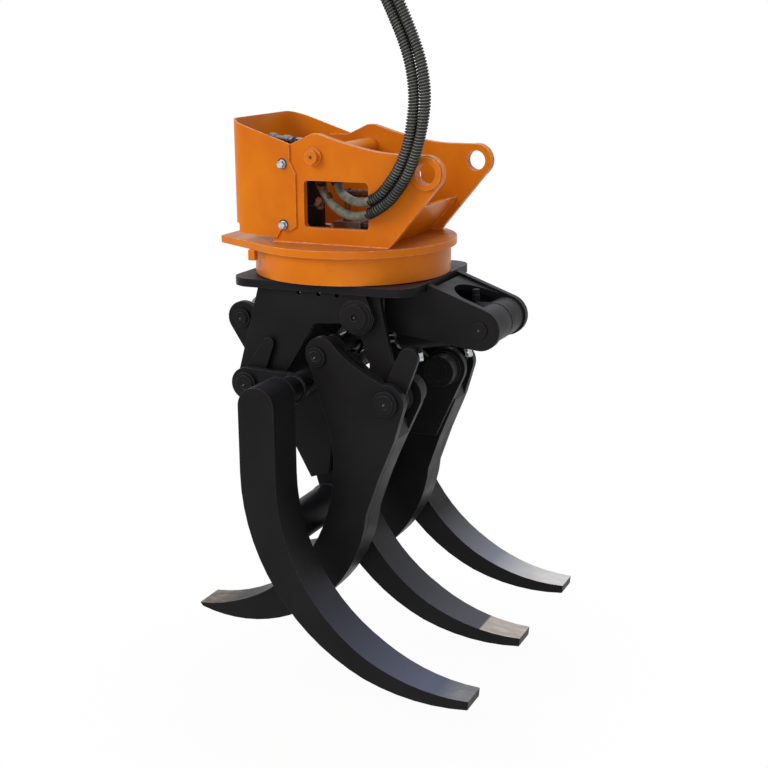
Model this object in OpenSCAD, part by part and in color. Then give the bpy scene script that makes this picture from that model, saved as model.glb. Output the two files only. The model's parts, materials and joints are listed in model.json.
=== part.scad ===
/* [Slew ring] */
// Outside radius of the ring housing
ring_r = 300; // [292:1:308]
// Height of the ring housing
ring_h = 84; // [82:1:92]
// Wall of the ring housing
ring_wall = 18; // [14:1:20]
// Running gap under the ring housing
ring_gap = 2; // [1:0.5:4]
// Distance from the ring's outside to the circle that the bearing balls run on
ball_ring_in = 50; // [48:1:53]
// Radius of one bearing ball
ball_r = 10; // [8:0.5:11]
// Number of bearing balls
balls = 24; // [16:2:30]
// Distance from the ring's outside to the slew gear's pitch circle
gear_in = 84; // [82:0.5:86]
// Radius of the rotary union's core
core_r = 35; // [30:1:40]

/* [Head] */
// Reach of the flange past the ring housing
flange_lip = 18; // [12:1:30]
// Thickness of the flange
flange_t = 22; // [18:1:28]
// Reach of the flange behind the slew axis
tail_reach = 378; // [368:1:400]
// Half width of the flange at its far edge
tail_half = 150; // [130:1:170]
// Distance from the middle to the outer face of a cheek plate
cheek_y = 207; // [202:1:212]
// Thickness of a cheek plate
cheek_t = 22; // [18:1:26]
// Reach of the cheek plates behind the slew axis
cheek_back = 165; // [155:1:175]
// Height of the cheek plates' peak above the ring's underside
cheek_peak = 427; // [418:1:440]
// Distance of the cheek plates' toe in front of the slew axis
cheek_toe = 212; // [205:1:220]
// Distance of the carrier pin in front of the slew axis
stick_x = 329; // [322:1:338]
// Height of the carrier pin above the ring's underside
stick_z = 326; // [320:1:334]
// Radius of the carrier pin's bore
stick_bore_r = 30; // [25:1:34]
// Radius of the cheek plate round the carrier pin
stick_lobe_r = 50; // [46:1:54]
// Distance of the link pin behind the slew axis
link_back = 23; // [15:1:30]
// Height of the link pin above the ring's underside
link_z = 362; // [356:1:368]
// Radius of the link pin
link_pin_r = 25; // [22:1:28]
// Distance of the window behind the slew axis
window_back = 60; // [50:1:70]
// Width of the window in a cheek plate
window_w = 207; // [190:1:215]
// Height of the window in a cheek plate
window_h = 137; // [120:1:145]
// Thickness of the cross plate between the cheek plates
cross_t = 16; // [12:1:22]
// Thickness of the guard sheet
guard_t = 6; // [4:0.5:8]
// Reach of the guard behind the slew axis
guard_reach = 306; // [298:1:316]
// Height of the guard's top edge at its far end
guard_top = 464; // [454:1:474]
// Across-flats size of the guard bolts
guard_hex = 19; // [17:1:22]

/* [Lower frame] */
// Half length of the turntable plate
table_x = 295; // [290:1:300]
// Half width of the turntable plate
table_y = 265; // [260:1:272]
// Thickness of the turntable plate
table_t = 25; // [22:1:28]
// Corner radius of the turntable plate
table_corner = 70; // [55:1:80]
// Distance from the middle to the outer face of a frame plate
frame_y = 245; // [243:0.5:246]
// Thickness of a frame plate
frame_t = 24; // [21:0.5:25]
// Thickness of a leg plate
leg_t = 20; // [18:0.5:22]
// Thickness of the keeper flags
flag_t = 18; // [14:0.5:19]
// Distance of the three-tine jaw's pivot behind the slew axis
pivot_three_back = 228; // [225:0.5:230]
// Depth of the three-tine jaw's pivot below the ring
pivot_three_down = 318; // [316:0.5:321]
// Distance of the two-tine jaw's pivot in front of the slew axis
pivot_two_x = 238; // [236:0.5:241]
// Depth of the two-tine jaw's pivot below the ring
pivot_two_down = 330; // [328:0.5:333]
// Radius of the pivot pins
pivot_r = 30; // [27:0.5:32]
// Distance from the middle to the outer face of an arm plate
arm_y = 131; // [130:0.5:134]
// Thickness of an arm plate
arm_t = 25; // [22:0.5:25.5]
// Radius of the arm plate round the base pin
arm_lobe_r = 62; // [58:1:66]
// Distance of the cylinders' base pin in front of the slew axis
base_x = 461; // [458:0.5:464]
// Depth of the cylinders' base pin below the ring
base_down = 129; // [127:0.5:131]
// Radius of the cylinders' base pin
base_r = 25; // [22:0.5:27]

/* [Cylinders] */
// Distance from the middle to a cylinder's axis
cyl_y = 53; // [52.5:0.1:53.5]
// Outside radius of a barrel
barrel_r = 48; // [44:0.5:49]
// Inside radius of a barrel
tube_r = 38; // [34:0.5:40]
// Radius of a piston rod
rod_r = 22; // [18:0.5:24]
// Outside radius of a base eye
eye_r = 56; // [50:0.5:58]
// Width of a base eye
eye_w = 99; // [90:0.5:100]
// Length from the base pin to the gland's face on the long cylinder
reach_three = 352; // [345:1:356]
// Length from the base pin to the gland's face on the short cylinder
reach_two = 290; // [284:1:294]

/* [Three-tine jaw] */
// Distance from the middle to the outer face of an outer plate
outer_y = 290; // [289:0.5:291]
// Thickness of the three-tine jaw's outer plates
outer_t = 23; // [20:0.5:23.5]
// Radius of the pivot tube
hub_r = 50; // [46:0.5:52]
// Distance from the middle to the outer face of a crank plate
crank_y = 100; // [99:0.5:101]
// Thickness of a crank plate
crank_t = 24; // [20:0.5:24.5]
// Distance of the rod's ear behind the jaw's pivot
ear_back = 113; // [111:0.5:115]
// Height of the rod's ear above the jaw's pivot
ear_up = 158; // [156:0.5:160]
// Radius of the rod's ear
ear_r = 52; // [48:0.5:54]
// Distance of the cross tube from the jaw's pivot
tube_out = 158; // [156:0.5:160]
// Radius of the cross tube
cross_tube_r = 40; // [38:0.5:42]
// Distance between neighbouring tines of the three-tine jaw
tine_pitch = 450; // [446:1:456]
// Width of a tine of the three-tine jaw
tine_w = 134; // [126:1:138]
// Width of a tine at its tip
tip_w = 95; // [85:1:105]
// Radius of the tube that ties the tines
tie_tube_r = 57; // [52:1:60]

/* [Two-tine jaw] */
// Distance from the middle to the outer face of a side plate
side_y = 300; // [299:0.5:301]
// Thickness of a side plate
side_t = 28; // [25:0.5:28.5]
// Distance from the middle to the inner face of a side box
box_y = 190; // [188:0.5:192]
// Thickness of the two-tine jaw's inner plates
inner_t = 22; // [20:0.5:24]
// Radius of the lobe round the jaw's pivot
side_lobe_r = 56; // [52:0.5:58]
// Distance of the rod shaft from the jaw's pivot
shaft_out = 220; // [218:0.5:222]
// Height of the rod shaft above the jaw's pivot
shaft_up = 120; // [118:0.5:122]
// Radius of the rod shaft
shaft_r = 25; // [22:0.5:26]

/* [Hoses] */
// Outside radius of a supply hose
hose_r = 13; // [11:0.5:13.5]

/* [Hidden] */

// Colours
orange_paint = "#e28214";
black_paint = "#2b2a2b";
steel = "#a9adb2";
zinc = "#cfd3d6";
bronze = "#8f6a3f";
rubber = "#1c1c1d";

// Shared clearances, turns and facets
fit_gap = 0.05;
safe_gap = 0.3;
side_gap = 2;
over = 1;
turn = 360;
half_turn = 180;
quarter = 90;
fine = 96;
arc_steps = 20;

// Places in the side view, as [along X, up], before the part is seated on the carrier pin
flange_top = ring_h + flange_t;
stick = [stick_x, stick_z];
link = [-link_back, link_z];
pivot_three = [-pivot_three_back, -pivot_three_down];
pivot_two = [pivot_two_x, -pivot_two_down];
base = [base_x, -base_down];
ear = pivot_three + [-ear_back, ear_up];
tube_c = pivot_three + [tube_out, 0];
shaft_c = pivot_two + [-shaft_out, shaft_up];

// Arc and span helpers
function arc(c, r, a0, a1) = [
    for (i = [0 : arc_steps])
        c + r * [cos(a0 + (a1 - a0) * i / arc_steps), sin(a0 + (a1 - a0) * i / arc_steps)]
];
function scaled(shares, size) = [for (s = shares) [s[0] * size[0], s[1] * size[1]]];
function curve(a, b, c) = [
    for (i = [0 : arc_steps])
        let (t = i / arc_steps)
            (1 - t) * (1 - t) * a + 2 * t * (1 - t) * b + t * t * c
];
function on_circle(c, r, a) = c + r * [cos(a), sin(a)];
function round_box(x0, x1, y0, y1, r) = concat(
    arc([x0 + r, y0 + r], r, -half_turn, -quarter),
    arc([x1 - r, y0 + r], r, -quarter, 0),
    arc([x1 - r, y1 - r], r, 0, quarter),
    arc([x0 + r, y1 - r], r, quarter, half_turn)
);

// Seats the part with the carrier pin's axis at the origin
module seat() {
    translate([-stick_x, 0, -stick_z]) children();
}

module both_sides() {
    children();
    mirror([0, 1, 0]) children();
}

// Plate with a side-view outline, from y_near to y_near + t
module xz_plate(points, y_near, t) {
    translate([0, y_near + t, 0])
        rotate([quarter, 0, 0])
            linear_extrude(height = t)
                polygon(points);
}

// Round bar along Y
module y_rod(c, r, y_near, length) {
    translate([c[0], y_near, c[1]])
        rotate([-quarter, 0, 0])
            cylinder(r = r, h = length, $fn = fine);
}

// Round hole along Y through everything between y_near and y_near + length
module y_hole(c, r, y_near, length) {
    y_rod(c, r, y_near - over, length + 2 * over);
}

module y_ring(c, r, hole_r, y_near, length) {
    difference() {
        y_rod(c, r, y_near, length);
        y_hole(c, hole_r, y_near, length);
    }
}

// Upright round bar and hole
module z_rod(c, r, z0, z1) {
    translate([c[0], c[1], z0]) cylinder(r = r, h = z1 - z0, $fn = fine);
}

module z_hole(c, r, z0, z1) {
    z_rod(c, r, z0 - over, z1 + over);
}

// Hexagon head, upright
module hex_head(across, h) {
    cylinder(d = across / cos(half_turn / 6), h = h, $fn = 6);
}

// Head: flange, ring housing and cheek plates
tail_angle = 118;
flange_r = ring_r + flange_lip;
ball_ring_r = ring_r - ball_ring_in;
gear_teeth = 54;
pinion_teeth = 12;
gear_module = 2 * (ring_r - gear_in) / gear_teeth;
pinion_out = (gear_teeth - pinion_teeth) * gear_module / 2;
pinion_c = [-pinion_out, 0];
pinion_hole_share = 7.75;
pinion_hole_r = pinion_hole_share * gear_module;
race_side_gap = 3;
race_r = ring_r - ring_wall - race_side_gap;
race_hex = 17;
race_bolt_in = 11;
race_bolt_r = race_r - race_bolt_in;
race_bolts_n = 18;
race_bolt_skin = 6;
module head_flange() color(orange_paint) seat() {
    difference() {
        translate([0, 0, ring_h])
            linear_extrude(height = flange_t)
                union() {
                    circle(r = flange_r, $fn = 2 * fine);
                    polygon([
                        on_circle([0, 0], flange_r, tail_angle), [-tail_reach, tail_half],
                        [-tail_reach, -tail_half], on_circle([0, 0], flange_r, -tail_angle)
                    ]);
                }
        z_hole([0, 0], core_r + safe_gap, ring_h, flange_top);
        z_hole(pinion_c, pinion_hole_r, ring_h, flange_top);
        race_bolt_places() z_rod([0, 0], race_hex / 4, ring_h - over, flange_top - race_bolt_skin);
    }
}

module race_bolt_places() {
    for (i = [0 : race_bolts_n - 1])
        rotate([0, 0, turn * i / race_bolts_n]) translate([race_bolt_r, 0, 0]) children();
}

module race_bolts() color(zinc) seat() {
    race_bolt_places() {
        translate([0, 0, race_z - race_hex / 2]) hex_head(race_hex, race_hex / 2);
        z_rod([0, 0], race_hex / 4, race_z, flange_top - race_bolt_skin);
    }
}

module ring_housing() color(orange_paint) seat() {
    difference() {
        z_rod([0, 0], ring_r, ring_gap, ring_h);
        z_hole([0, 0], ring_r - ring_wall, ring_gap, ring_h);
    }
}

peak_flat_shares = [0.4, 0.56];
shoulder_drop = 33;
shoulder_share = 0.63;
saddle_share = 0.46;
brow_share = 0.76;
lobe_end_angle = -38;
window_sill = 49;
window_corner = 12;
module cheek(rear) {
    outline = concat(
        [
            [-cheek_back, flange_top], [-cheek_back, cheek_peak - shoulder_drop],
            [-cheek_back * shoulder_share, cheek_peak - shoulder_drop],
            [-link_back - link_pin_r * peak_flat_shares[0], cheek_peak]
        ],
        curve(
            [-link_back + link_pin_r * peak_flat_shares[1], cheek_peak],
            [stick_x * saddle_share, stick_z + stick_lobe_r - over],
            [stick_x * brow_share, stick_z + stick_lobe_r]
        ),
        arc(stick, stick_lobe_r, quarter, lobe_end_angle),
        [[cheek_toe, flange_top]]
    );
    sill = flange_top + window_sill;
    y_near = rear ? cheek_y - cheek_t : -cheek_y;
    difference() {
        xz_plate(outline, y_near, cheek_t);
        xz_plate(
            round_box(-window_back, window_w - window_back, sill, sill + window_h, window_corner),
            y_near - over, cheek_t + 2 * over
        );
        y_hole(stick, stick_bore_r, y_near, cheek_t);
        y_hole(link, link_pin_r, y_near, cheek_t);
        guard_bolt_places() y_hole([0, 0], guard_shank_r, y_near, cheek_t);
    }
}

module cheek_front() color(orange_paint) seat() cheek(false);

module cheek_rear() color(orange_paint) seat() cheek(true);

boss_r = 47;
boss_t = 12;
module stick_bosses() color(orange_paint) seat() both_sides() {
    y_ring(stick, boss_r, stick_bore_r, cheek_y, boss_t);
}

cross_foot_share = 0.86;
cross_run = 84;
cross_rise = 107;
module cross_plate() color(orange_paint) seat() {
    foot = cheek_toe * cross_foot_share;
    wide = cross_t * norm([cross_run, cross_rise]) / cross_rise;
    xz_plate(
        [
            [foot - wide, flange_top], [foot, flange_top],
            [foot + cross_run, flange_top + cross_rise],
            [foot + cross_run - wide, flange_top + cross_rise]
        ],
        cheek_t - cheek_y, 2 * (cheek_y - cheek_t)
    );
}

link_head_r = 26;
link_head_t = 10;
link_nose_r = 20;
link_nose_t = 18;
grease_r = 5;
module link_pin() color(orange_paint) seat() {
    difference() {
        union() {
            y_rod(link, link_pin_r, -cheek_y, 2 * cheek_y);
            both_sides() {
                y_rod(link, link_head_r, cheek_y, link_head_t);
                y_rod(link, link_nose_r, cheek_y + link_head_t, link_nose_t);
            }
        }
        both_sides() y_hole(link, grease_r, cheek_y + link_head_t, link_nose_t);
    }
}

guard_edge = 102;
guard_tab = 18;
guard_bend_r = 60;
guard_slope = 0.33;
guard_foot = 14;
guard_rise = 38;
guard_step = 34;
guard_tab_drop = 50;
guard_tab_slant = 36;
guard_tab_rise = 50;
guard_notch = 23;
guard_notch_rise = 49;
guard_foot_fall = 8;
guard_shank_r = 6;
guard_bolt_x = -126;
guard_bolt_rises = [53, 232];
module guard_bolt_places() {
    for (rise = guard_bolt_rises) translate([guard_bolt_x, 0, flange_top + rise]) children();
}

module guard_sheet() color(orange_paint) seat() {
    foot = flange_top + guard_foot;
    brow = guard_top - guard_slope * (guard_reach - guard_edge);
    side = [
        [-guard_reach - guard_t, flange_top + guard_notch_rise],
        [-guard_reach - guard_t, guard_top],
        [-guard_reach, guard_top],
        [-guard_edge, brow],
        [-guard_edge, brow - guard_tab_drop],
        [guard_tab - guard_edge, brow - guard_tab_drop - guard_tab_slant],
        [guard_tab - guard_edge, flange_top + guard_tab_rise],
        [-guard_edge, flange_top + guard_rise],
        [-guard_edge - guard_step, flange_top + guard_rise],
        [-guard_edge - guard_step - guard_foot, foot],
        [guard_notch - guard_reach, foot + guard_foot_fall],
        [guard_notch - guard_reach, flange_top + guard_notch_rise]
    ];
    difference() {
        intersection() {
            xz_plate(side, -cheek_y - guard_t - over, 2 * (cheek_y + guard_t + over));
            translate([0, 0, flange_top])
                linear_extrude(height = guard_top)
                    difference() {
                        polygon(guard_plan(guard_t));
                        polygon(guard_plan(0));
                    }
        }
        guard_bolt_places()
            y_hole([0, 0], guard_shank_r, -cheek_y - guard_t, 2 * (cheek_y + guard_t));
    }
}

function guard_plan(out) = concat(
    [[0, cheek_y + out]],
    arc([guard_bend_r - guard_reach, cheek_y - guard_bend_r], guard_bend_r + out, quarter, half_turn),
    arc([guard_bend_r - guard_reach, guard_bend_r - cheek_y], guard_bend_r + out, half_turn, turn - quarter),
    [[0, -cheek_y - out]]
);

washer_t = 3;
module guard_bolts() color(zinc) seat() both_sides() guard_bolt_places() {
    y_rod([0, 0], guard_shank_r, cheek_y - cheek_t, cheek_t + guard_t);
    y_rod([0, 0], guard_hex * 2 / 3, cheek_y + guard_t, washer_t);
    translate([0, cheek_y + guard_t + washer_t, 0])
        rotate([-quarter, 0, 0]) hex_head(guard_hex, guard_hex * 2 / 3);
}

// Slew drive inside the head
gearbox_flange_share = 0.488;
gearbox_flange_r = pinion_out * gearbox_flange_share;
gearbox_flange_t = 16;
gearbox_share = 0.393;
gearbox_r = pinion_out * gearbox_share;
gearbox_top = 196;
motor_share = 0.333;
motor_r = pinion_out * motor_share;
motor_top = 310;
port_r = 14;
port_out = 24;
port_drop = 34;
port_gap = 26;
pinion_shaft_r = 25;
pinion_pocket = 60;
module slew_gearbox() color(steel) seat() {
    difference() {
        union() {
            z_rod(pinion_c, gearbox_flange_r, flange_top, flange_top + gearbox_flange_t);
            z_rod(pinion_c, gearbox_r, flange_top, gearbox_top);
        }
        translate([pinion_c[0], pinion_c[1], flange_top - over])
            cylinder(r = pinion_shaft_r + fit_gap, h = pinion_pocket + over, $fn = fine);
    }
}

module slew_motor() color(black_paint) seat() {
    z_rod(pinion_c, motor_r, gearbox_top, motor_top);
    for (y = [-port_gap, port_gap])
        translate([pinion_c[0], y, motor_top - port_drop])
            rotate([0, quarter, 0])
                cylinder(r = port_r, h = motor_r + port_out, $fn = fine);
}

gear_addendum_share = 0.8;
gear_dedendum_share = 1.05;
pressure_angle = 22;
gear_backlash = 1.2;
gear_h = 60;
flank_steps = 4;
function involute(base_r, roll) = base_r * [
    cos(roll) + roll * PI / half_turn * sin(roll),
    sin(roll) - roll * PI / half_turn * cos(roll)
];
function roll_at(base_r, r) = r > base_r ? sqrt(r * r / (base_r * base_r) - 1) * half_turn / PI : 0;
function flank(base_r, r0, r1) = [
    for (i = [0 : flank_steps])
        involute(base_r, roll_at(base_r, r0 + (r1 - r0) * i / flank_steps))
];
function spin(points, a) = [
    for (p = points) [p[0] * cos(a) - p[1] * sin(a), p[0] * sin(a) + p[1] * cos(a)]
];
function flip(points) = [for (i = [len(points) - 1 : -1 : 0]) [points[i][0], -points[i][1]]];

// Outline of a spur gear, its teeth thinner on the pitch circle by thin
function gear_outline(teeth, root_r, tip_r, thin) =
    let (
        pitch_r = teeth * gear_module / 2,
        base_r = pitch_r * cos(pressure_angle),
        on_pitch = involute(base_r, roll_at(base_r, pitch_r)),
        half_tooth = quarter / teeth - thin / pitch_r * quarter / PI,
        turn_back = -half_tooth - atan2(on_pitch[1], on_pitch[0]),
        right = concat(
            root_r < base_r ? [on_circle([0, 0], root_r, turn_back)] : [],
            spin(flank(base_r, max(root_r, base_r), tip_r), turn_back)
        )
    )
    [for (i = [0 : teeth - 1]) each spin(concat(right, flip(right)), turn * i / teeth)];

race_gap = 2;
gear_outer_r = ball_ring_r - race_gap;
module drive_pinion() color(steel) seat() {
    pitch_r = pinion_teeth * gear_module / 2;
    translate([pinion_c[0], pinion_c[1], pinion_lift])
        linear_extrude(height = gear_h - 2 * pinion_lift)
            polygon(gear_outline(
                pinion_teeth, pitch_r - gear_dedendum_share * gear_module,
                pitch_r + gear_addendum_share * gear_module, gear_backlash
            ));
    z_rod(pinion_c, pinion_shaft_r, pinion_lift, flange_top + pinion_pocket - side_gap);
}

pinion_lift = 4;
module inner_gear_ring() color(steel) seat() {
    pitch_r = gear_teeth * gear_module / 2;
    difference() {
        z_rod([0, 0], gear_outer_r, 0, gear_h);
        translate([0, 0, -over])
            linear_extrude(height = gear_h + 2 * over)
                polygon(gear_outline(
                    gear_teeth, pitch_r - gear_addendum_share * gear_module,
                    pitch_r + gear_dedendum_share * gear_module, 0
                ));
        ball_groove();
        gear_bolt_places() z_hole([0, 0], gear_bolt_shank_r, 0, gear_bolt_deep);
    }
}

ball_z = 45;
module ball_groove() {
    translate([0, 0, ball_z])
        rotate_extrude($fn = fine)
            translate([ball_ring_r, 0]) circle(r = ball_r + safe_gap, $fn = fine);
}

race_z = 30;
module bearing_outer_race() color(steel) seat() {
    difference() {
        z_rod([0, 0], race_r, race_z, ring_h);
        z_hole([0, 0], ball_ring_r + race_gap, race_z, ring_h);
        ball_groove();
        race_bolt_places() z_hole([0, 0], race_hex / 4 + safe_gap, race_z, ring_h);
    }
}

module bearing_balls() color(steel) seat() {
    for (i = [0 : balls - 1])
        rotate([0, 0, turn * i / balls])
            translate([ball_ring_r, 0, ball_z]) sphere(r = ball_r, $fn = fine);
}

seal_w = 20;
seal_z0 = 4;
seal_z1 = 12;
module dust_seal() color(rubber) seat() {
    difference() {
        z_rod([0, 0], ring_r - ring_wall, seal_z0, seal_z1);
        z_hole([0, 0], ring_r - ring_wall - seal_w, seal_z0, seal_z1);
    }
}

core_low = 45;
core_flange_r = 60;
core_flange_t = 14;
union_half = 45;
union_h = 46;
module swivel_core() color(steel) seat() {
    z_rod([0, 0], core_r, -core_low, flange_top);
    z_rod([0, 0], core_flange_r, flange_top, flange_top + core_flange_t);
    translate([-union_half, -union_half, flange_top + core_flange_t])
        cube([2 * union_half, 2 * union_half, union_h - core_flange_t]);
}

sleeve_r = 58;
sleeve_top = 70;
sleeve_flange_r = 85;
sleeve_flange_t = 12;
module swivel_sleeve() color(steel) seat() {
    difference() {
        union() {
            z_rod([0, 0], sleeve_r, -core_low, sleeve_top);
            z_rod([0, 0], sleeve_flange_r, 0, sleeve_flange_t);
        }
        z_hole([0, 0], core_r + fit_gap, -core_low, sleeve_top);
    }
}

tube_r_small = 11;
tube_y = -22;
tube_rise = 32;
module transfer_tube() color(black_paint) seat() {
    z = flange_top + tube_rise;
    foot = cheek_toe * cross_foot_share - cross_t * norm([cross_run, cross_rise]) / cross_rise;
    face = foot + (tube_rise - tube_r_small) * cross_run / cross_rise;
    translate([union_half, tube_y, z])
        rotate([0, quarter, 0]) cylinder(r = tube_r_small, h = face - union_half, $fn = fine);
}

block_back = 84;
block_w = 130;
block_low = 290;
block_h = 28;
block_d = 85;
module valve_block() color(bronze) seat() {
    translate([-block_back, cheek_t - cheek_y, block_low]) cube([block_w, block_d, block_h]);
    hose_end(outer_route[0], outer_route[0] - outer_route[1]);
    hose_end(inner_route[0], inner_route[0] - inner_route[1]);
}

ferrule_r = 16;
ferrule_len = 34;
ferrule_sides = 12;
module hose_end(at, way) {
    translate(at)
        rotate([0, acos(way[2] / norm(way)), atan2(way[1], way[0])])
            cylinder(r = ferrule_r, h = ferrule_len, $fn = ferrule_sides);
}

lube_w = 22;
lube_h = 32;
lube_shares = [-0.773, -0.82];
module lube_block() color(orange_paint) seat() {
    translate([ring_r * lube_shares[0], ring_r * lube_shares[1], ring_h - lube_h])
        cube([lube_w, lube_w, lube_h]);
}

// Supply hoses: the points of their routes are chosen by hand
hose_sides = 10;
outer_route = [
    [-39, -130, 269], [-21, -140, 241], [22, -164, 212], [79, -195, 195], [140, -228, 201],
    [188, -244, 221], [227, -246, 248], [257, -246, 282], [285, -246, 325], [306, -246, 373],
    [322, -246, 422], [334, -246, 477], [340, -246, 531], [337, -246, 585], [325, -246, 643],
    [304, -246, 701], [279, -248, 759], [257, -250, 806], [237, -252, 843]
];
inner_route = [
    [8, -125, 279], [28, -140, 255], [69, -172, 240], [119, -212, 237], [165, -236, 245],
    [202, -246, 265], [230, -246, 296], [255, -246, 332], [276, -246, 374], [292, -246, 422],
    [301, -246, 471], [307, -246, 525], [304, -246, 584], [292, -246, 643], [272, -246, 701],
    [245, -244, 759], [221, -242, 807], [200, -240, 844]
];
function unit(v) = v / norm(v);
function heading(route, i) =
    unit(route[min(i + 1, len(route) - 1)] - route[max(i - 1, 0)]);
function hose_ring(route, i) =
    let (
        t = heading(route, i),
        u = unit(cross(t, [0, 1, 0])),
        v = cross(t, u)
    )
    [for (k = [0 : hose_sides - 1])
        route[i] + hose_r * (cos(turn * k / hose_sides) * u + sin(turn * k / hose_sides) * v)];
module hose(route) {
    last = (len(route) - 1) * hose_sides;
    polyhedron(
        points = [for (i = [0 : len(route) - 1]) each hose_ring(route, i)],
        faces = concat(
            [[for (k = [0 : hose_sides - 1]) k]],
            [[for (k = [hose_sides - 1 : -1 : 0]) last + k]],
            [for (i = [0 : len(route) - 2], k = [0 : hose_sides - 1])
                let (a = i * hose_sides + k, b = i * hose_sides + (k + 1) % hose_sides)
                    [a, a + hose_sides, b]],
            [for (i = [0 : len(route) - 2], k = [0 : hose_sides - 1])
                let (a = i * hose_sides + k, b = i * hose_sides + (k + 1) % hose_sides)
                    [b, a + hose_sides, b + hose_sides]]
        )
    );
}

module hose_outer() color(rubber) seat() hose(outer_route);

module hose_inner() color(rubber) seat() hose(inner_route);

module hose_couplers() color(steel) seat() {
    for (route = [outer_route, inner_route])
        hose_end(route[len(route) - 1], heading(route, len(route) - 1));
}

// Lower frame: turntable and the plates under it
gear_bolt_in = 12;
gear_bolt_r = gear_outer_r - gear_bolt_in;
gear_bolt_shank_r = 6;
gear_bolt_hex = 19;
gear_bolt_deep = 30;
gear_bolt_angles = [0, 20, 40, 140, 160, 180, 200, 220, 320, 340];
module gear_bolt_places() {
    for (a = gear_bolt_angles) rotate([0, 0, a]) translate([gear_bolt_r, 0, 0]) children();
}

module gear_bolts() color(zinc) seat() gear_bolt_places() {
    z_rod([0, 0], gear_bolt_shank_r, -table_t, gear_bolt_deep - over);
    translate([0, 0, -table_t - gear_bolt_hex / 2]) hex_head(gear_bolt_hex, gear_bolt_hex / 2);
}

module turntable_plate() color(black_paint) seat() {
    difference() {
        translate([0, 0, -table_t])
            linear_extrude(height = table_t)
                polygon(round_box(-table_x, table_x, -table_y, table_y, table_corner));
        z_hole([0, 0], sleeve_r, -table_t, 0);
        gear_bolt_places() z_hole([0, 0], gear_bolt_shank_r, -table_t, 0);
    }
}

tie = [122, -93];
tie_lobe_r = 56;
tie_r = 25;
frame_top_shares = [0.886, 0.63];
arch_shares = [[0.456, 0.843], [0.07, 0.39], [-0.3, 0.368]];
frame_lobe_r = 54;
frame_lobe_angles = [162, 316];
tie_lobe_angles = [222, 360];
notch_w = 12;
notch_h = 15;
notch_xs = [-67, -1, 60];
module frame_plate(rear) {
    y_near = rear ? frame_y - frame_t : -frame_y;
    outline = concat(
        [[-pivot_three_back * frame_top_shares[0], -table_t]],
        arc(pivot_three, frame_lobe_r, frame_lobe_angles[0], frame_lobe_angles[1]),
        scaled(arch_shares, pivot_three),
        arc(tie, tie_lobe_r, tie_lobe_angles[0], tie_lobe_angles[1]),
        [[pivot_two_x * frame_top_shares[1], -table_t]]
    );
    difference() {
        xz_plate(outline, y_near, frame_t);
        y_hole(pivot_three, pivot_r, y_near, frame_t);
        y_hole(tie, tie_r, y_near, frame_t);
        for (x = notch_xs)
            translate([x - notch_w / 2, y_near - over, -table_t - notch_h])
                cube([notch_w, frame_t + 2 * over, notch_h + over]);
    }
}

module frame_front() color(black_paint) seat() frame_plate(false);

module frame_rear() color(black_paint) seat() frame_plate(true);

leg_shares = [[0.53, 0.476], [0.588, 0.664], [0.819, 0.852]];
leg_back_shares = [[0.941, 0.679], [0.786, 0.155]];
leg_top_share = 0.786;
leg_lobe_r = 48;
leg_boss_r = 44;
leg_lobe_angles = [150, 385];
module frame_legs() color(black_paint) seat() both_sides() {
    y_near = frame_y - frame_t - leg_t;
    top = [0, -table_t];
    outline = concat(
        [[tie[0] - tie_lobe_r, -table_t]],
        arc(tie, tie_lobe_r, half_turn, turn - quarter),
        scaled(leg_shares, pivot_two),
        arc(pivot_two, leg_lobe_r, leg_lobe_angles[0], leg_lobe_angles[1]),
        scaled(leg_back_shares, pivot_two),
        [[pivot_two_x * leg_top_share, -table_t]]
    );
    difference() {
        union() {
            xz_plate(outline, y_near, leg_t);
            y_rod(pivot_two, leg_boss_r, y_near + leg_t - over, frame_t + over);
        }
        y_hole(pivot_two, pivot_r, y_near, leg_t + frame_t);
        y_hole(tie, tie_r, y_near, leg_t);
    }
}

web_xs = [-168, -136];
web_w = 20;
web_h = 30;
module frame_web() color(black_paint) seat() {
    for (x = web_xs)
        translate([x, frame_t - frame_y, -table_t - web_h])
            cube([web_w, 2 * (frame_y - frame_t), web_h]);
}

arm_end_angles = [70, -95];
arm_shoulder_rise = 20;
arm_shoulder_out = 7;
module arm_plates() color(black_paint) seat() both_sides() {
    outline = concat(
        [
            [tie[0] - tie_lobe_r, -table_t], [table_x + side_gap, -table_t],
            [table_x + side_gap, arm_shoulder_rise - table_t],
            [table_x + arm_shoulder_out, arm_shoulder_rise - table_t]
        ],
        arc(base, arm_lobe_r, arm_end_angles[0], arm_end_angles[1]),
        arc(tie, tie_lobe_r, -quarter, -half_turn)
    );
    difference() {
        xz_plate(outline, arm_y - arm_t, arm_t);
        y_hole(base, base_r, arm_y - arm_t, arm_t);
        y_hole(tie, tie_r, arm_y - arm_t, arm_t);
    }
}

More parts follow.
